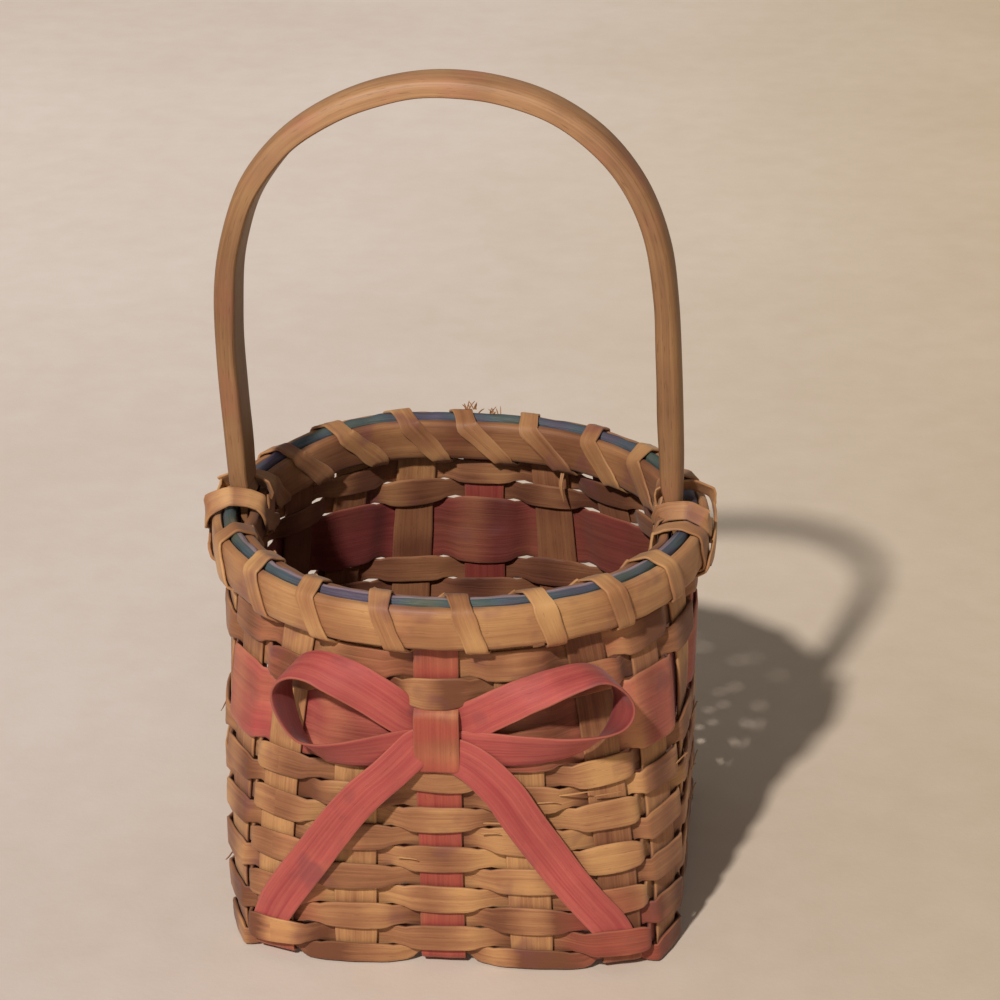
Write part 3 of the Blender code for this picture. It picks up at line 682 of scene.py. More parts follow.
def row_place(row, turn, z):
    """A point of a row's middle line at height z. turn counts the uprights it has passed."""
    index = int(turn)
    before, heading = passing(row, index, z)
    after, next_heading = passing(row, index + 1, z)
    start, end = before(PASS_REACH), after(-PASS_REACH)
    gap = float(np.linalg.norm(end - start))
    s = (turn - index) * (gap + 2 * PASS_REACH)
    if s < PASS_REACH:
        return before(s)
    if s > gap + PASS_REACH:
        return after(s - gap - 2 * PASS_REACH)
    u = (s - PASS_REACH) / gap
    pull = gap * 0.95
    return (start * (2 * u ** 3 - 3 * u ** 2 + 1) + heading * pull * (u ** 3 - 2 * u ** 2 + u)
            + end * (3 * u ** 2 - 2 * u ** 3) + next_heading * pull * (u ** 3 - u ** 2))


def hole(seam, crossing):
    """Half of the small gap that is left where two rows cross between uprights."""
    value = random.Random(f"hole {seam} {crossing}").random()
    return lerp(LEAST_HOLE, WIDEST_HOLE, max(2 * value - 1, 0))


def row_edges(row, turn, bottom, top):
    """Heights of a row's lower and upper edge, fullest where it passes an upright."""
    share, crossing, nearest = turn / STAKE_COUNT, int(turn), round(turn)
    face, number = upright_at(nearest)
    away = abs(turn - nearest)
    between = sin(pi * turn) ** 4
    full = FULLNESS * max(0, 1 - (away / 0.43) ** 6)
    low, high = bottom, top
    if row < RIM_ROW:
        low += seams[row - 1](share) - EDGE_LAP + hole(row - 1, crossing) * between - full
        high += EDGE_LAP - hole(row, crossing) * between
        high += seams[row](share) + full if row < RIM_ROW - 1 else 0
    if row == 1:
        drop = 1 if is_outside(1, face, number) else smooth((away - 0.27) / 0.13)
        low = lerp(FIRST_FOOT_INSIDE, FIRST_FOOT_OUTSIDE, drop)
    if (face, number) == (0, 0):
        at_knot = smooth(1.3 - 3.2 * away)
        low -= KNOT_DIP_ABOVE * at_knot if row == BAND + 1 else 0
        high -= KNOT_DIP_BELOW * at_knot if row == BAND - 1 else 0
    return low + climb(turn, low), high + climb(turn, high)


def weave_row(name, row, bottom, top, material, shade, dye):
    """One row of the weave. dye gives its pink at each place."""
    turns = np.arange(STAKE_COUNT * STEPS_PER_STAKE) / STEPS_PER_STAKE
    edges = np.array([
        [row_place(row, turn, z) for z in row_edges(row, turn, bottom, top)] for turn in turns.tolist()])
    middles = edges.mean(1)
    # Painted shade: rows darker low on the right of the front, where the corner turns away from the light
    corner = smooth((middles[:, 0] - 12 * MM) / (30 * MM)) * smooth((28 * MM - middles[:, 2]) / (16 * MM))
    drift = ring_wander(name + " tone", 0.19, 4, 26)(turns / STAKE_COUNT)
    tone = shade + drift - CORNER_PAINTED_SHADE * corner
    made = strip_between(name, edges[:, 0], edges[:, 1], WEAVER_THICKNESS, tone, dye(middles), True)
    dress(made, material, name)


# Dye that has run onto the weave: the place and reach of each spot in millimetres, and its depth
SPLASHES = [
    (-38, -60, 24, 12, 0.45), (-26, -62, 40, 9, 0.30), (38, -60, 20, 12, 0.45), (24, -62, 42, 9, 0.30),
    (-14, -61, 92, 10, 0.30), (0, -62, 96, 8, 0.35), (46, -52, 92, 14, 0.45), (-48, -50, 88, 12, 0.40),
    # The spot at the right front foot is real dye, made deeper as painted shade where that corner turns away
    # from the light
    (48, -50, 6, 16, 0.75), (-46, -48, 6, 12, 0.50), (0, -60, 30, 10, 0.16), (-16, -61, 34, 8, 0.25)]


def splashes(places):
    total = 0.0
    for *spot, reach, depth in SPLASHES:
        distance = np.linalg.norm(places / MM - spot, axis=1) / reach
        total = total + depth * np.exp(-distance * distance)
    return total


ROW_SHADES = (0.34, 0.48, 0.36, 0.60, 0.50, 0.60, 0.48, 0.60, 0.42, 0.48)
for row in range(1, ROWS_BELOW_BAND + 1):
    high = FIRST_ROW_TOP + (row - 1) * ROW_PITCH
    low = high - ROW_PITCH + GAP if row > 1 else FIRST_FOOT_OUTSIDE
    weave_row(f"weaver_row_{row:02d}", row, low, high, reed, ROW_SHADES[row - 1], splashes)


def band_dye(places):
    side = np.arctan2(places[:, 1], places[:, 0])
    return 0.62 + 0.12 * np.sin(side * 3 + 1.0) + 0.08 * np.sin(side * 7)


weave_row("pink_band", BAND, BAND_BOTTOM, BAND_TOP, dyed_reed, 0.5, band_dye)
for row, low, high, shade in ((BAND + 1, GAP, 7.1 * MM, 0.36), (BAND + 2, 7.4 * MM, 15.0 * MM, 0.40)):
    weave_row(f"weaver_row_{row}", row, BAND_TOP + low, BAND_TOP + high, reed, shade, splashes)
weave_row("rim_row", RIM_ROW, RIM_ROW_BOTTOM, WALL_TOP, reed, 0.36, splashes)


# Rim

rim_rise = ring_wander("rim rise", 0.22 * MM, 2, 9)
rim_spread = ring_wander("rim spread", 0.18 * MM, 2, 9)


def bulge(angle):
    away = min(angle % pi, pi - angle % pi)
    return smooth((BULGE_END - away) / (BULGE_END - BULGE_FLAT))


def ring_point(radius, angle, z):
    """Points of the rim at one angle, with the small unevenness that all its pieces share."""
    share = angle / tau
    radius = radius + rim_spread(share)
    rise = rim_rise(share) + back_rise(angle)
    return np.stack((radius * cos(angle), radius * sin(angle), z + rise), -1)


HOOP_SHARES = np.array([
    (0, 0.04), (0, 0.5), (0, 0.96), (0.12, 1.0), (0.36, 1.0), (0.62, 0.99), (0.82, 0.955), (0.93, 0.88),
    (0.985, 0.76), (1.0, 0.6), (1.0, 0.4), (0.985, 0.24), (0.93, 0.12), (0.82, 0.045), (0.62, 0.01),
    (0.36, 0), (0.12, 0)])
HOOP_SECTION = HOOP_SHARES * (HOOP_THICKNESS, HOOP_HEIGHT)
HOOP_STATIONS = 360
FILLER_STATIONS, FILLER_SIDES = 480, 20


def hoop(name, side, shade):
    shares = np.arange(HOOP_STATIONS) / HOOP_STATIONS
    angles = tau * shares
    out, rise = HOOP_SHARES.T
    rings = []
    for angle, extra in zip(angles, ring_wander(name + " rough", 0.08 * MM, 6, 50)(shares)):
        start = RIM_RADIUS + side * HOOP_OFFSET - (BULGE_DEPTH * bulge(angle) if side < 0 else 0)
        rings.append(ring_point(start + side * (HOOP_THICKNESS + extra) * out, angle,
                                HOOP_BOTTOM + HOOP_HEIGHT * rise + extra * (rise - 0.5)))
    layers = {
        "tone": shade + ring_wander(name + " tone", 0.12, 2, 16)(shares)[:, None],
        "pink": 0.04 + ring_wander(name + " soak", 0.10, 3, 20)(shares)[:, None],
        "edge": np.where(out > 0.5, (rise * 2 - 1) ** 2, 0.5),
        # The inner hoop takes half of the painted inside shade all round
        "inner": 0.0 if side > 0 else 0.5}
    along = angles * RIM_RADIUS + 3.7 * (1 + side)
    made = mesh_from_rings(name, rings, True, along, distances(HOOP_SECTION), layers)
    dress(made, hoop_reed, name)


hoop("outer_rim_hoop", 1, 0.56)
# The inner hoop's lower tone is painted shade for the inside of the rim
hoop("inner_rim_hoop", -1, 0.40)


def filler_material():
    """Dyed reed of the rim's filler: blue, green and violet along its length, with a pale painted highlight
    on its top inner side at the front.
    """
    made = Pattern(bpy.data.materials.new("dyed_filler"))
    fibre = made.grain(40, 2400, 4.0, 0.65)
    colour = made.ramp(
        made.grain(38, 60, 2.0, 0.5), (0.34, linear(70, 56, 92)), (0.44, linear(58, 64, 92)),
        (0.51, linear(44, 78, 92)), (0.58, linear(52, 82, 78)), (0.66, linear(72, 86, 62)))
    colour = made.mix(made.ranged(fibre, 0.35, 0.7, 0.1, 0.75), colour, linear(98, 88, 82))
    # Painted highlight: pale lavender on the filler's top inner side at the front
    inner = made.total((made.layer("inner"), 1.0), (fibre, 0.5), start=-0.25)
    colour = made.mix(made.ranged(inner, 0.55, 0.85, 0.0, 0.7), colour, linear(168, 140, 146))
    return made.finish({"Base Color": colour, "Roughness": 0.6}, fibre, 0.8, 0.4 * MM)


def filler():
    shares = np.arange(FILLER_STATIONS) / FILLER_STATIONS
    turns = tau * np.arange(FILLER_SIDES) / FILLER_SIDES
    swell = ring_wander("filler swell", 0.10 * MM, 8, 60)(shares)
    rings = []
    for angle, extra in zip(tau * shares, swell):
        reach = (FILLER_RADIUS - 0.12 * MM + extra) * (1 + 0.045 * np.cos(turns * 7 + angle * 40))
        out, rise = reach * np.cos(turns), reach * np.sin(turns)
        rings.append(ring_point(RIM_RADIUS + out, angle, FILLER_HEIGHT + rise))
    # Where the painted highlight lies: the top inner side of the filler, at the front only
    front = smooth(0.35 - 0.75 * np.sin(tau * shares))[:, None]
    inner = front * np.clip(np.sin(turns) - 0.9 * np.cos(turns), 0, 1)
    along = tau * RIM_RADIUS * shares
    made = mesh_from_rings("rim_filler", rings, True, along, turns * FILLER_RADIUS, {"inner": inner})
    dress(made, filler_material(), "rim_filler")


filler()


# Lashing of the rim

LASHING_STEPS = 88
OUTER_TOP_SHARE, OUTER_FOOT_SHARE = 0.06, 0.37
INNER_FOOT_SHARE, INNER_TOP_SHARE = 0.50, 0.94
SLOT_SHIFT = radians(1.6)
TOP_SHIFT = radians(1.9)
JITTER = radians(0.9)


def advance_share(out, z, top, foot):
    """Share of one turn's advance at a place of the lashing's path, from its top."""
    fall = clamp((top - z) / (top - foot))
    side = HOOP_OFFSET + HOOP_THICKNESS
    if fall <= 0:
        share = clamp(out / side, -1, 1)
        return OUTER_TOP_SHARE * share if share >= 0 else 1 + (1 - INNER_TOP_SHARE) * share
    if fall >= 1:
        return lerp(OUTER_FOOT_SHARE, INNER_FOOT_SHARE, clamp((side - out) / (2 * side)))
    if out > 0:
        return lerp(OUTER_TOP_SHARE, OUTER_FOOT_SHARE, fall)
    return lerp(INNER_TOP_SHARE, INNER_FOOT_SHARE, fall)


def top_share(share):
    if share < SLOT_SHARE:
        return clamp((OUTER_FOOT_SHARE - share) / (OUTER_FOOT_SHARE - OUTER_TOP_SHARE))
    return clamp((share - INNER_FOOT_SHARE) / (INNER_TOP_SHARE - INNER_FOOT_SHARE))


def lashing_turn(extra):
    """One turn round the rim: places out, heights, directions outwards and shares of its advance.

    It is the taut line round the hoops, the filler and the rim row, kept off them by half
    the lashing's thickness, a clearance and the extra.
    """
    points = []
    for side in (-1, 1):
        points += [(side * (HOOP_OFFSET + out), HOOP_BOTTOM + rise) for out, rise in HOOP_SECTION]
        points.append((side * (WEAVE_OFFSET + WEAVER_THICKNESS / 2), RIM_ROW_BOTTOM))
    for k in range(24):
        turn = tau * k / 24
        points.append((FILLER_RADIUS * cos(turn), FILLER_HEIGHT + FILLER_RADIUS * sin(turn)))
    points = np.array(points)
    clear = LASHING_CLEARANCE + LASHING_THICKNESS / 2 + extra
    path = []
    for k in range(721):
        angle = pi / 2 - tau * (k % 720) / 720
        direction = np.array((cos(angle), sin(angle)))
        path.append(points[np.argmax(points @ direction)] + direction * clear)
    lengths = distances(path)
    wanted = np.linspace(0, lengths[-1], LASHING_STEPS + 1)[:-1]
    even = np.stack([np.interp(wanted, lengths, values) for values in np.transpose(path)], 1)
    top, foot = HOOP_TOP - clear, HOOP_BOTTOM + clear
    return [(out, z, (-dz, dx), advance_share(out, z, top, foot))
            for (out, z), (dx, dz) in zip(even, travel(even, True))]


def lashing_place(out, z, angle):
    """A point of the lashing, let in where the inner hoop bulges round a leg."""
    reach = RIM_RADIUS + out
    if out < 0:
        spread = LASHING_WIDTH / 2 / RIM_RADIUS
        widest = max(bulge(angle + spread * side) for side in (-1, -0.5, 0, 0.5, 1))
        reach -= BULGE_DEPTH * widest * min(-out / HOOP_OFFSET, 1)
    return ring_point(reach, angle, z)


def lashing_strip(name, stations, shade):
    """A lashing through stations of out, height, angle, outward direction and lean.

    The lean turns it up on its edge beside a leg, about the way it runs.
    """
    middles = np.array([lashing_place(out, z, angle) for out, z, angle, _, _ in stations])
    angles, leans = (np.array([station[k] for station in stations]) for k in (2, 4))
    aside, upward = np.array([station[3] for station in stations]).T
    normals = np.stack([aside * np.cos(angles), aside * np.sin(angles), upward], 1)
    heading = travel(middles, True)
    across = np.cross(normals, heading)
    faces = np.cross(heading, across)
    tangents = np.stack([-np.sin(angles), np.cos(angles), 0 * angles], 1)
    leans *= np.clip(upward * 1.3, 0, 1) ** 2 * np.sign((across * tangents).sum(1))
    sine, cosine = np.sin(leans)[:, None], np.cos(leans)[:, None]
    across, faces = across * cosine + faces * sine, faces * cosine - across * sine
    middles = middles + UP * np.abs(sine) * LASHING_WIDTH * 0.42
    steps = distances(middles)
    widths = LASHING_WIDTH + wander(name + " width", 0.28 * MM, 8 * MM, 50 * MM)(steps)
    # The last sections ease back to the first one's width
    widths[-12:] = lerp(widths[-13], widths[0], np.arange(1, 13) / 13)
    tone = shade + wander(name + " tone", 0.12, 10 * MM, 80 * MM)(steps)
    pink = 0.05 + wander(name + " soak", 0.12, 20 * MM, 90 * MM)(steps)
    made = strip(name, middles, across, faces, widths, LASHING_THICKNESS, tone, pink, closed=True)
    dress(made, hoop_reed, name)


def rim_lashing():
    advance = tau / STAKE_COUNT
    jitters = [random.Random(f"turn {turn}").uniform(-1, 1) * JITTER for turn in range(STAKE_COUNT)]
    path = lashing_turn(0)
    stations = []
    for turn in range(STAKE_COUNT):
        for out, z, direction, share in path:
            raised = top_share(share)
            top_turn = turn + (1 if share > SLOT_SHARE else 0)
            angle = advance * (turn + 0.5 + share - SLOT_SHARE) + SLOT_SHIFT
            top_angle = advance * (top_turn + 0.5 - SLOT_SHARE)
            from_leg = (top_angle + pi / 2) % pi - pi / 2
            lean = 0.0
            if abs(from_leg) < advance / 2:
                angle -= (from_leg + LEG_CLEAR + SLOT_SHIFT) * raised
                if raised == 1:
                    angle = top_angle - from_leg - LEG_CLEAR
                lean = WRAP_LEAN * smooth(raised * 2 - 1)
            else:
                angle += (TOP_SHIFT + jitters[top_turn % STAKE_COUNT]) * raised
            stations.append((out, z, angle, direction, lean))
    lashing_strip("rim_lashing", stations, 0.60)


def handle_wrap(name, leg_angle):
    """An extra turn of the lashing that crosses it beside a leg of the handle."""
    stations = []
    for out, z, direction, share in lashing_turn(LASHING_THICKNESS + WRAP_CLEARANCE):
        raised = top_share(share)
        angle = leg_angle + lerp(-pi / STAKE_COUNT, LEG_CLEAR, raised)
        stations.append((out, z, angle, direction, -WRAP_LEAN * smooth(raised * 2 - 1)))
    lashing_strip(name, stations, 0.62)


rim_lashing()
handle_wrap("handle_wrap_right", 0)
handle_wrap("handle_wrap_left", pi)


# Handle

def handle_material():
    """Bent wood: long grain with pores, redder in places, and darker below its top, which is painted shade
    on the legs.
    """
    made = Pattern(bpy.data.materials.new("handle_wood"))
    grain = made.grain(9, 620, 5.0, 0.6, 0.3)
    fine = made.grain(60, 3200, 3.0, 0.6)
    level = made.total((grain, 0.42), (fine, 0.2), (made.noise(34.0, 3.0, 0.55), 0.38))
    colour = made.ramp(level, (0.34, linear(132, 92, 62)), (0.5, linear(168, 124, 86)),
                       (0.68, linear(198, 154, 106)))
    colour = made.mix(made.ranged(made.noise(60.0), 0.52, 0.72, 0.0, 0.4), colour, linear(182, 112, 92))
    dashes = made.ranged(made.grain(170, 2400, 1.0, 0.5), 0.64, 0.73, 0.0, 0.45)
    colour = made.mix(dashes, colour, linear(104, 66, 42))
    # Painted shade: the legs are darker than the lit top of the arch
    darker = made.mix(1.0, colour, linear(208, 203, 194), "MULTIPLY")
    height = made.add("SeparateXYZ", [made.place()])[2]
    colour = made.mix(made.ranged(height, 0.19, 0.228), darker, colour)
    rough = made.ranged(grain, 0.3, 0.7, 0.42, 0.60)
    relief = made.total((grain, 1.0), (fine, 0.4), (dashes, -1.0))
    return made.finish({"Base Color": colour, "Roughness": rough, "Specular IOR Level": 0.4},
                       relief, 0.35, 0.3 * MM)


def handle_outline():
    """Shares of width and depth round the handle's section, flat inside, crowned outside."""
    corner = [(0.40, -1.0), (0.465, -0.975), (0.495, -0.92), (0.5, -0.84), (0.5, -0.7), (0.5, -0.55)]
    points = [(-0.40, -1.0), (-0.2, -1.0), (0.0, -1.0), (0.2, -1.0), *corner]
    for k in range(1, 12):
        turn = pi * k / 12
        points.append((0.5 * cos(turn) * (1 + 0.04 * sin(2 * turn) ** 2),
                       -0.46 + 0.46 * sin(turn) ** 0.85))
    return points + [(-across, inward) for across, inward in corner[:0:-1]]


def leaned(point):
    rise = max(point[2] - HOOP_TOP, 0)
    eased = rise - HANDLE_EASE / 2
    if rise < HANDLE_EASE:
        eased = rise ** 2 / (2 * HANDLE_EASE)
    return point + np.array((tan(HANDLE_SIDE_LEAN), tan(HANDLE_BACK_LEAN), 0)) * eased


# Outer face of the arch from its right leg to its left one: place, height, width and depth
# in millimetres, and its twist in degrees
HANDLE_PATH = [
    (61.5, 112.6, 11.5, 4.4, 0), (61.6, 116, 11.5, 5.0, 0), (61.8, 121, 11.5, 6.2, 0),
    (62.1, 132, 11.6, 6.8, 0), (62.3, 152, 11.6, 6.9, 0), (62.0, 172, 11.6, 6.8, 0),
    (60.3, 188.1, 11.5, 6.6, 0), (54.9, 203.6, 11.5, 6.3, 0), (45.0, 217.0, 11.5, 6.1, 0),
    (31.4, 226.4, 11.5, 6.0, 0), (15.9, 231.4, 11.5, 6.0, 0), (0, 232.7, 11.5, 6.0, 0),
    (-15.7, 230.4, 11.4, 6.0, 1), (-30.5, 224.8, 11.4, 6.1, 3), (-43.9, 215.9, 11.4, 6.2, 5),
    (-54.6, 203.5, 11.4, 6.3, 6), (-61.0, 188.4, 11.4, 6.3, 6), (-64.4, 172.1, 11.5, 6.4, 6),
    (-65.1, 152.0, 11.5, 6.4, 6), (-64.7, 132.0, 11.5, 6.4, 6), (-64.3, 120, 11.5, 6.4, 5),
    (-63.6, 115.0, 11.5, 6.0, 4), (-61.8, 112.4, 11.5, 4.6, 1)]


def handle():
    tang_bottom = HOOP_BOTTOM - HANDLE_TANG
    keys = (tang_bottom, tang_bottom + HANDLE_TANG / 2, HOOP_BOTTOM)
    widths = (HANDLE_TIP_WIDTH, HANDLE_WIDTH, HANDLE_WIDTH)
    depths = (HANDLE_TIP_THICKNESS, lerp(HANDLE_TIP_THICKNESS, HANDLE_RIM_THICKNESS, 0.6),
              HANDLE_RIM_THICKNESS)
    tang = []
    for z in np.arange(tang_bottom, HOOP_TOP + 0.6 * MM, 2 * MM):
        reach = min(HANDLE_REACH, half_size(z) - WEAVE_OFFSET - WEAVER_THICKNESS / 2 - GAP)
        tang.append((reach, z, np.interp(z, keys, widths), np.interp(z, keys, depths), 0.0))
    arch = smooth_points(np.array(HANDLE_PATH) * (MM, MM, MM, MM, radians(1)), 8)
    sections = np.array([*tang, *arch, *((-x, *others) for x, *others in reversed(tang))])
    along = distances(sections[:, :2])
    vary_width = wander("handle width", 0.16 * MM, 25 * MM, 120 * MM)
    vary_depth = wander("handle depth", 0.12 * MM, 20 * MM, 120 * MM)
    outline, aside = handle_outline(), np.array((0, 1, 0))
    rings = []
    for s, (x, z, width, depth, twist), (dx, dz) in zip(along, sections, travel(sections[:, :2])):
        width += vary_width(s)
        depth += vary_depth(s) * clamp((z - HOOP_TOP) / (8 * MM))
        out = np.array((dz, 0, -dx))
        middle = np.array((x, 0, z)) - out * depth / 2
        twisted_out = out * cos(twist) + aside * sin(twist)
        twisted_aside = aside * cos(twist) - out * sin(twist)
        rings.append([
            leaned(middle + twisted_aside * width * across + twisted_out * depth * (inward + 0.5))
            for across, inward in outline])
    around = distances(np.array(outline) * (HANDLE_WIDTH, HANDLE_THICKNESS))
    made = mesh_from_rings("handle", rings, False, along, around, {})
    made.data.set_sharp_from_angle(angle=radians(38))
    dress(made, handle_material(), "handle")


handle()


# Bow

# Both edges of each loop from the middle of the knot round to its lower end, in millimetres:
# the free edge and the edge on the wall, each as place along the wall, height and offset
LEFT_LOOP = [
    (0.0, 68.4, -0.05, 0.0, 80.2, -0.05), (-4.7, 69.6, 0.3, -2.6, 81.2, 0.2),
    (-10.4, 73.4, 2.9, -6.2, 84.2, 1.5), (-14.2, 76.9, 4.4, -8.8, 87.3, 2.5),
    (-17.8, 80.5, 6.0, -12.4, 89.8, 2.6), (-20.9, 83.6, 8.0, -16.3, 92.0, 2.6),
    (-23.5, 86.0, 9.8, -20.0, 93.5, 2.6), (-26.3, 88.1, 11.2, -23.9, 94.3, 2.6),
    (-29.0, 89.9, 12.2, -27.7, 94.6, 2.6), (-31.7, 90.5, 13.0, -31.4, 94.2, 2.6),
    (-34.1, 90.0, 13.6, -34.8, 92.8, 2.6), (-36.5, 88.0, 13.8, -37.7, 90.4, 2.6),
    (-37.8, 84.7, 13.9, -39.6, 86.9, 2.6), (-37.2, 81.4, 14.0, -39.8, 82.4, 2.6),
    (-35.4, 78.1, 14.1, -38.6, 77.3, 2.6), (-33.4, 75.2, 13.8, -36.5, 72.0, 2.6),
    (-31.3, 73.3, 13.0, -34.0, 67.8, 2.6), (-28.2, 72.7, 11.6, -30.6, 64.8, 2.6),
    (-23.8, 73.2, 9.8, -25.7, 63.7, 2.6), (-18.7, 74.0, 7.4, -20.0, 63.5, 2.6),
    (-13.6, 74.6, 4.9, -14.2, 63.6, 2.6), (-9.4, 74.8, 2.9, -9.6, 63.6, 2.2),
    (-5.6, 74.6, 1.5, -5.6, 63.7, 1.3), (-2.0, 74.4, 1.15, -2.0, 63.8, 1.15)]
RIGHT_LOOP = [
    (0.0, 68.4, -0.05, 0.0, 80.2, -0.05), (5.0, 69.2, 0.3, 3.0, 80.9, 0.2),
    (10.6, 72.2, 2.9, 7.0, 83.2, 1.6), (15.1, 75.9, 4.2, 10.6, 85.4, 2.5),
    (18.2, 78.4, 5.6, 13.7, 87.1, 2.6), (21.3, 80.9, 7.2, 17.0, 88.6, 2.6),
    (23.9, 83.2, 8.9, 20.0, 89.7, 2.6), (26.7, 85.2, 10.5, 23.4, 90.6, 2.6),
    (29.6, 87.4, 12.0, 27.0, 91.4, 2.6), (32.7, 89.1, 13.0, 31.0, 91.8, 2.6),
    (35.2, 90.2, 13.8, 34.8, 91.9, 2.6), (37.6, 90.8, 14.3, 37.9, 91.6, 2.6),
    (40.3, 90.0, 14.5, 40.7, 90.6, 2.6), (43.0, 87.5, 14.4, 43.6, 88.8, 2.6),
    (45.0, 84.6, 14.2, 45.8, 86.0, 2.6), (45.8, 81.6, 14.3, 47.1, 82.4, 2.6),
    (45.1, 79.0, 14.4, 47.0, 78.4, 2.6), (43.2, 77.2, 14.3, 45.6, 74.6, 2.6),
    (40.6, 76.3, 13.7, 43.3, 71.4, 2.6), (37.5, 75.9, 12.7, 40.2, 68.9, 2.6),
    (33.9, 75.8, 11.5, 36.0, 67.2, 2.6), (30.0, 75.8, 10.2, 31.5, 66.2, 2.6),
    (25.7, 76.0, 8.8, 26.2, 65.6, 2.6), (21.0, 76.0, 6.9, 21.2, 65.2, 2.6),
    (16.0, 75.8, 5.0, 16.0, 64.8, 2.6), (11.0, 75.3, 3.2, 11.0, 64.2, 2.4),
    (6.4, 74.8, 1.6, 6.4, 63.8, 1.4), (2.2, 74.4, 1.15, 2.2, 63.8, 1.15)]

# Middle line of each tail and its width, in the same way
LEFT_TAIL = [
    (-2.4, 71.2, 2.25, 10.2), (-5.4, 69.8, 2.9, 10.4), (-8.8, 66.4, 4.0, 10.4), (-13.4, 61.8, 4.9, 10.3),
    (-18.8, 56.6, 5.4, 10.2), (-24.2, 49.8, 5.2, 10.1), (-29.2, 42.4, 4.7, 10.1), (-33.8, 35.2, 4.1, 10.1),
    (-38.8, 27.6, 3.4, 10.2), (-42.2, 22.2, 2.8, 10.2), (-45.0, 17.4, 2.2, 10.2), (-47.2, 13.2, 1.3, 10.0),
    (-48.8, 9.4, 1.2, 9.8)]
RIGHT_TAIL = [
    (2.6, 67.8, 2.25, 10.6), (6.6, 66.8, 3.0, 11.2), (10.6, 64.8, 4.1, 11.4), (14.4, 61.4, 4.8, 11.4),
    (18.4, 56.4, 5.0, 11.3), (22.8, 48.6, 4.6, 11.2), (28.4, 39.6, 4.1, 10.9), (33.3, 31.8, 3.6, 10.4),
    (37.6, 25.5, 3.1, 10.0), (41.0, 20.8, 2.6, 9.8), (43.8, 17.0, 2.1, 9.8), (46.2, 13.0, 1.3, 9.8),
    (48.0, 9.2, 1.2, 9.6)]


def bow_point(along, z, out):
    """A point before the front wall, placed as if the wall didn't spread sideways."""
    back = along
    for _ in range(4):
        back = along - spread(back, z)
    return wall_point(0, back, z, out)[0]


def bow_strip(name, free, wall):
    """A strip of the bow between its edge on the wall and its free edge."""
    steps = MM * np.arange(len(free))
    tone = 0.55 + wander(name + " tone", 0.09, 10 * MM, 60 * MM)(steps)
    pink = 0.95 + wander(name + " soak", 0.07, 12 * MM, 60 * MM)(steps)
    made = strip_between(name, np.array(wall), np.array(free), BOW_THICKNESS, tone, pink)
    dress(made, dyed_reed, name)


def bow_loops():
    rows = smooth_points(LEFT_LOOP[::-1][:-1] + RIGHT_LOOP, 6) * MM
    free = [bow_point(*row[:3]) for row in rows]
    bow_strip("bow_loops", free, [bow_point(*row[3:]) for row in rows])


def bow_tail(name, rows):
    places = smooth_points(rows, 6)
    free, wall = [], []
    for (along, z, out, width), (dx, dz) in zip(places, travel(places[:, :2])):
        for edges, half in ((free, width / 2), (wall, -width / 2)):
            edges.append(bow_point((along + dz * half) * MM, (z - dx * half) * MM, out * MM))
    bow_strip(name, free, wall)


bow_loops()
bow_tail("bow_tail_left", LEFT_TAIL)
bow_tail("bow_tail_right", RIGHT_TAIL)


# Loose fibres: a sliver inside the back wall, a tuft on the rim and splinters on the rows

def fibre(name, points, width, thickness, facing):
    """A thin splinter through a few points, pointed at both ends."""
    line = smooth_points(points, 6) * MM
    heading = travel(line)
    across = np.cross(heading, facing)
    taper = np.interp(np.linspace(0, 1, len(line)), (0, 0.15, 0.7, 1), (0.5, 1, 0.8, 0.12))
    return strip(name, line, across, np.cross(across, heading), width * MM * taper, thickness * MM, 0.72, 0)


TUFT_REACH = 5.5
LASHING_BELOW_TUFT = (-8.0, -1.8)


def loose_fibres():
    """The sliver, the tuft and the splinters, joined as one piece. Their sizes are in millimetres."""
    sliver = [(24.6, 56.4, 101.6), (24.0, 54.8, 98.4), (23.6, 53.4, 95.0), (24.6, 52.6, 90.6)]
    made = [fibre("sliver", sliver, 1.2, 0.35, (-0.4, -0.9, 0))]
    chance = random.Random("tuft")
    for k in range(20):
        x = chance.uniform(-TUFT_REACH, TUFT_REACH)
        lean, back = chance.uniform(-1.8, 1.8), chance.uniform(-0.8, 1.4)
        top = chance.uniform(0.9, 2.6)
        over = 1.1 if LASHING_BELOW_TUFT[0] < x < LASHING_BELOW_TUFT[1] else 0.0
        foot = ring_point(RIM_RADIUS, pi / 2 - x * MM / RIM_RADIUS, FILLER_HEIGHT + FILLER_RADIUS) / MM
        foot += (0, 0, over + 0.05)
        points = [foot, foot + (lean * 0.5, back * 0.4, top * 0.6), foot + (lean, back, top)]
        made.append(fibre(f"tuft {k}", points, chance.uniform(0.2, 0.4), 0.2, (0.3, -0.9, 0.1)))
    chance = random.Random("splinters")
    for k in range(22):
        face = k % FACES
        row = chance.randint(2, ROWS_BELOW_BAND)
        along = chance.uniform(-40, 40)
        z = (FIRST_ROW_TOP + (row - 1) * ROW_PITCH) / MM - chance.uniform(0.4, 5.4)
        length, rise = chance.uniform(4, 11), chance.uniform(-0.5, 0.9)
        points = [wall_point(face, (along + length * share) * MM, (z + rise * share) * MM,
                             (2.05 + lift) * MM)[0] / MM
                  for share, lift in ((0, 0.0), (0.35, 0.25), (0.7, 0.55), (1.0, 1.1))]
        normal = wall_point(face, along * MM, z * MM)[2]
        made.append(fibre(f"splinter {k}", points, chance.uniform(0.3, 0.6), 0.2, normal))
    with bpy.context.temp_override(active_object=made[0], selected_editable_objects=made):
        bpy.ops.object.join()
    made[0].name = "loose_fibres"
    made[0].data.name = "loose_fibres"
    dress(made[0], hoop_reed, None)


loose_fibres()


# Floor, light and camera

FLOOR_REACH = 6.0
LAMP_AIM = Vector((0, 0, 0.1))


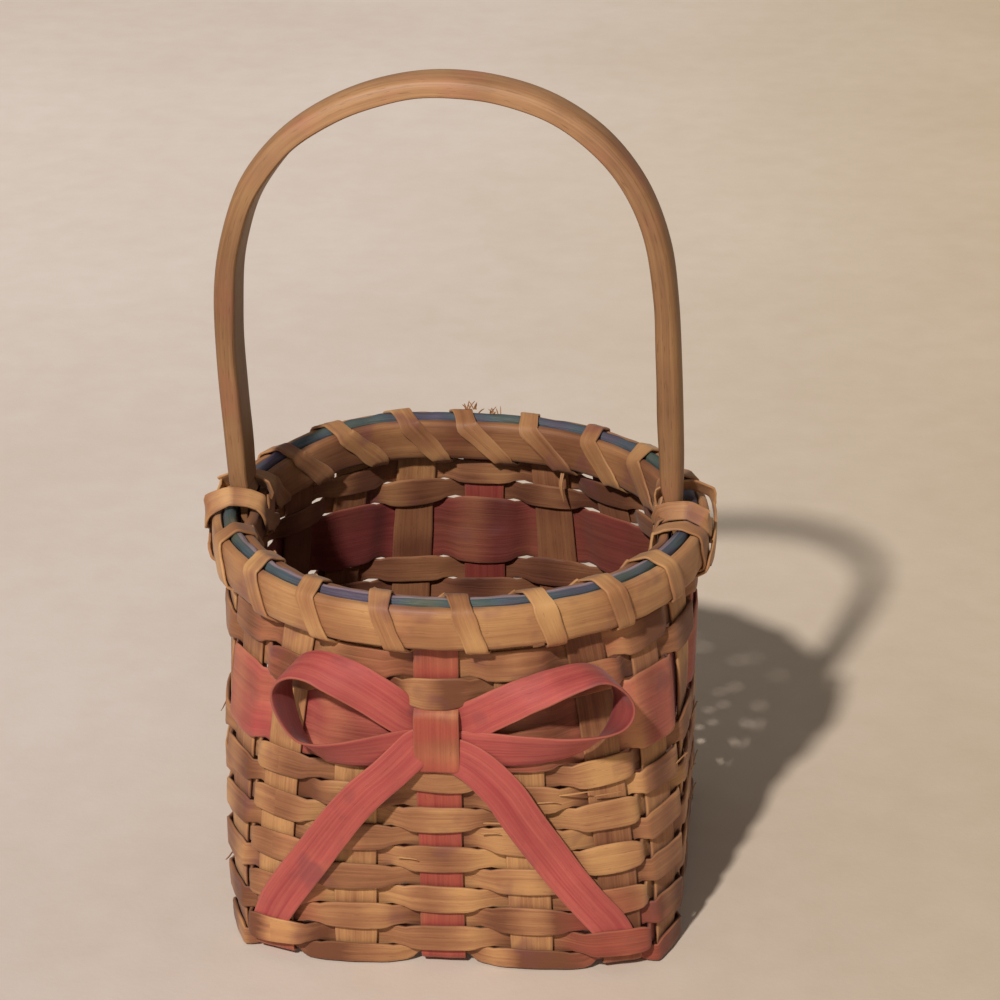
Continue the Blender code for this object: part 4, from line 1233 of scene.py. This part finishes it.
def make_floor():
    mesh = bpy.data.meshes.new("floor")
    corners = [(x * FLOOR_REACH, y * FLOOR_REACH, 0) for x, y in ((-1, -1), (1, -1), (1, 1), (-1, 1))]
    mesh.from_pydata(corners, [], [(0, 1, 2, 3)])
    made = Pattern(bpy.data.materials.new("pale_floor"))
    level = made.ranged(made.total((made.noise(5.0), 0.6), (made.noise(60.0, 4.0, 0.6), 0.4)), 0.35, 0.65)
    across, back, _ = made.add("SeparateXYZ", [made.place()])
    left = made.mix(level, linear(232, 216, 203), linear(240, 227, 217))
    right = made.mix(level, linear(216, 196, 168), linear(226, 206, 180))
    colour = made.mix(made.ranged(across, -0.12, 0.20), left, right)
    # Painted shade: the near floor is dimmed and the far floor left brighter, to even out the lamp's light
    # over it
    near_floor_painted_shade = made.mix(1.0, colour, linear(230, 229, 229), "MULTIPLY")
    colour = made.mix(made.ranged(back, -0.05, 0.65), near_floor_painted_shade, colour)
    mesh.materials.append(made.finish(
        {"Base Color": colour, "Roughness": 0.9, "Specular IOR Level": 0.1},
        made.noise(500.0, 3.0, 0.6), 0.15, 0.4 * MM))
    new_object("floor", mesh)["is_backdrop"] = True


make_floor()


def lamp(name, azimuth, elevation, distance, size, power, colour):
    """A round lamp that shines on the middle of the basket. Its angles are in degrees."""
    data = bpy.data.lights.new(name, "AREA")
    data.shape, data.size, data.energy, data.color = "DISK", size, power, colour
    made = new_object(name, data)
    around, up = radians(azimuth), radians(elevation)
    away = Vector((sin(around) * cos(up), -cos(around) * cos(up), sin(up)))
    made.location = LAMP_AIM + away * distance
    made.rotation_euler = pi / 2 - up, 0.0, around


lamp("key_lamp", -18.2, 43.2, 9.0, 0.50, 800.0, (1.0, 0.965, 0.92))
lamp("low_lamp", 12, 10, 3.0, 1.0, 6.0, (1.0, 0.95, 0.90))

# The world lights softly, and the camera sees it in a colour near the floor's
world = bpy.data.worlds.new("soft_room")
bpy.context.scene.world = world
room = Pattern(world)
light = room.tree.nodes["Background"]
room.feed(light, [(1.0, 0.95, 0.90, 1), 0.20])
seen = room.add("Background", [linear(206, 186, 164), 1.0])[0]
choice = room.add("MixShader", [room.add("LightPath")["Is Camera Ray"], light.outputs[0], seen])[0]
room.feed(room.tree.nodes["World Output"], [choice])

CAMERA_PLACE = (94.4 * MM, -833.0 * MM, 475.1 * MM)
CAMERA_YAW, CAMERA_PITCH, CAMERA_ROLL = -0.0998, 0.4079, -0.0112
camera_data = bpy.data.cameras.new("camera")
camera_data.sensor_width = 36.0
camera_data.lens = 36.0 * 3.3
camera_data.clip_start = 0.05
camera_data.clip_end = 50.0
camera = new_object("camera", camera_data)
camera.matrix_world = (
    Matrix.Translation(CAMERA_PLACE) @ Matrix.Rotation(-CAMERA_YAW, 4, "Z")
    @ Matrix.Rotation(pi / 2 - CAMERA_PITCH, 4, "X") @ Matrix.Rotation(CAMERA_ROLL, 4, "Z"))
bpy.context.scene.camera = camera
bpy.context.scene.view_settings.view_transform = "Standard"

bpy.context.view_layer.update()
low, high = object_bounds()
{"cad": [list(cad_low), list(cad_high)], "visual": [list(low), list(high)]}
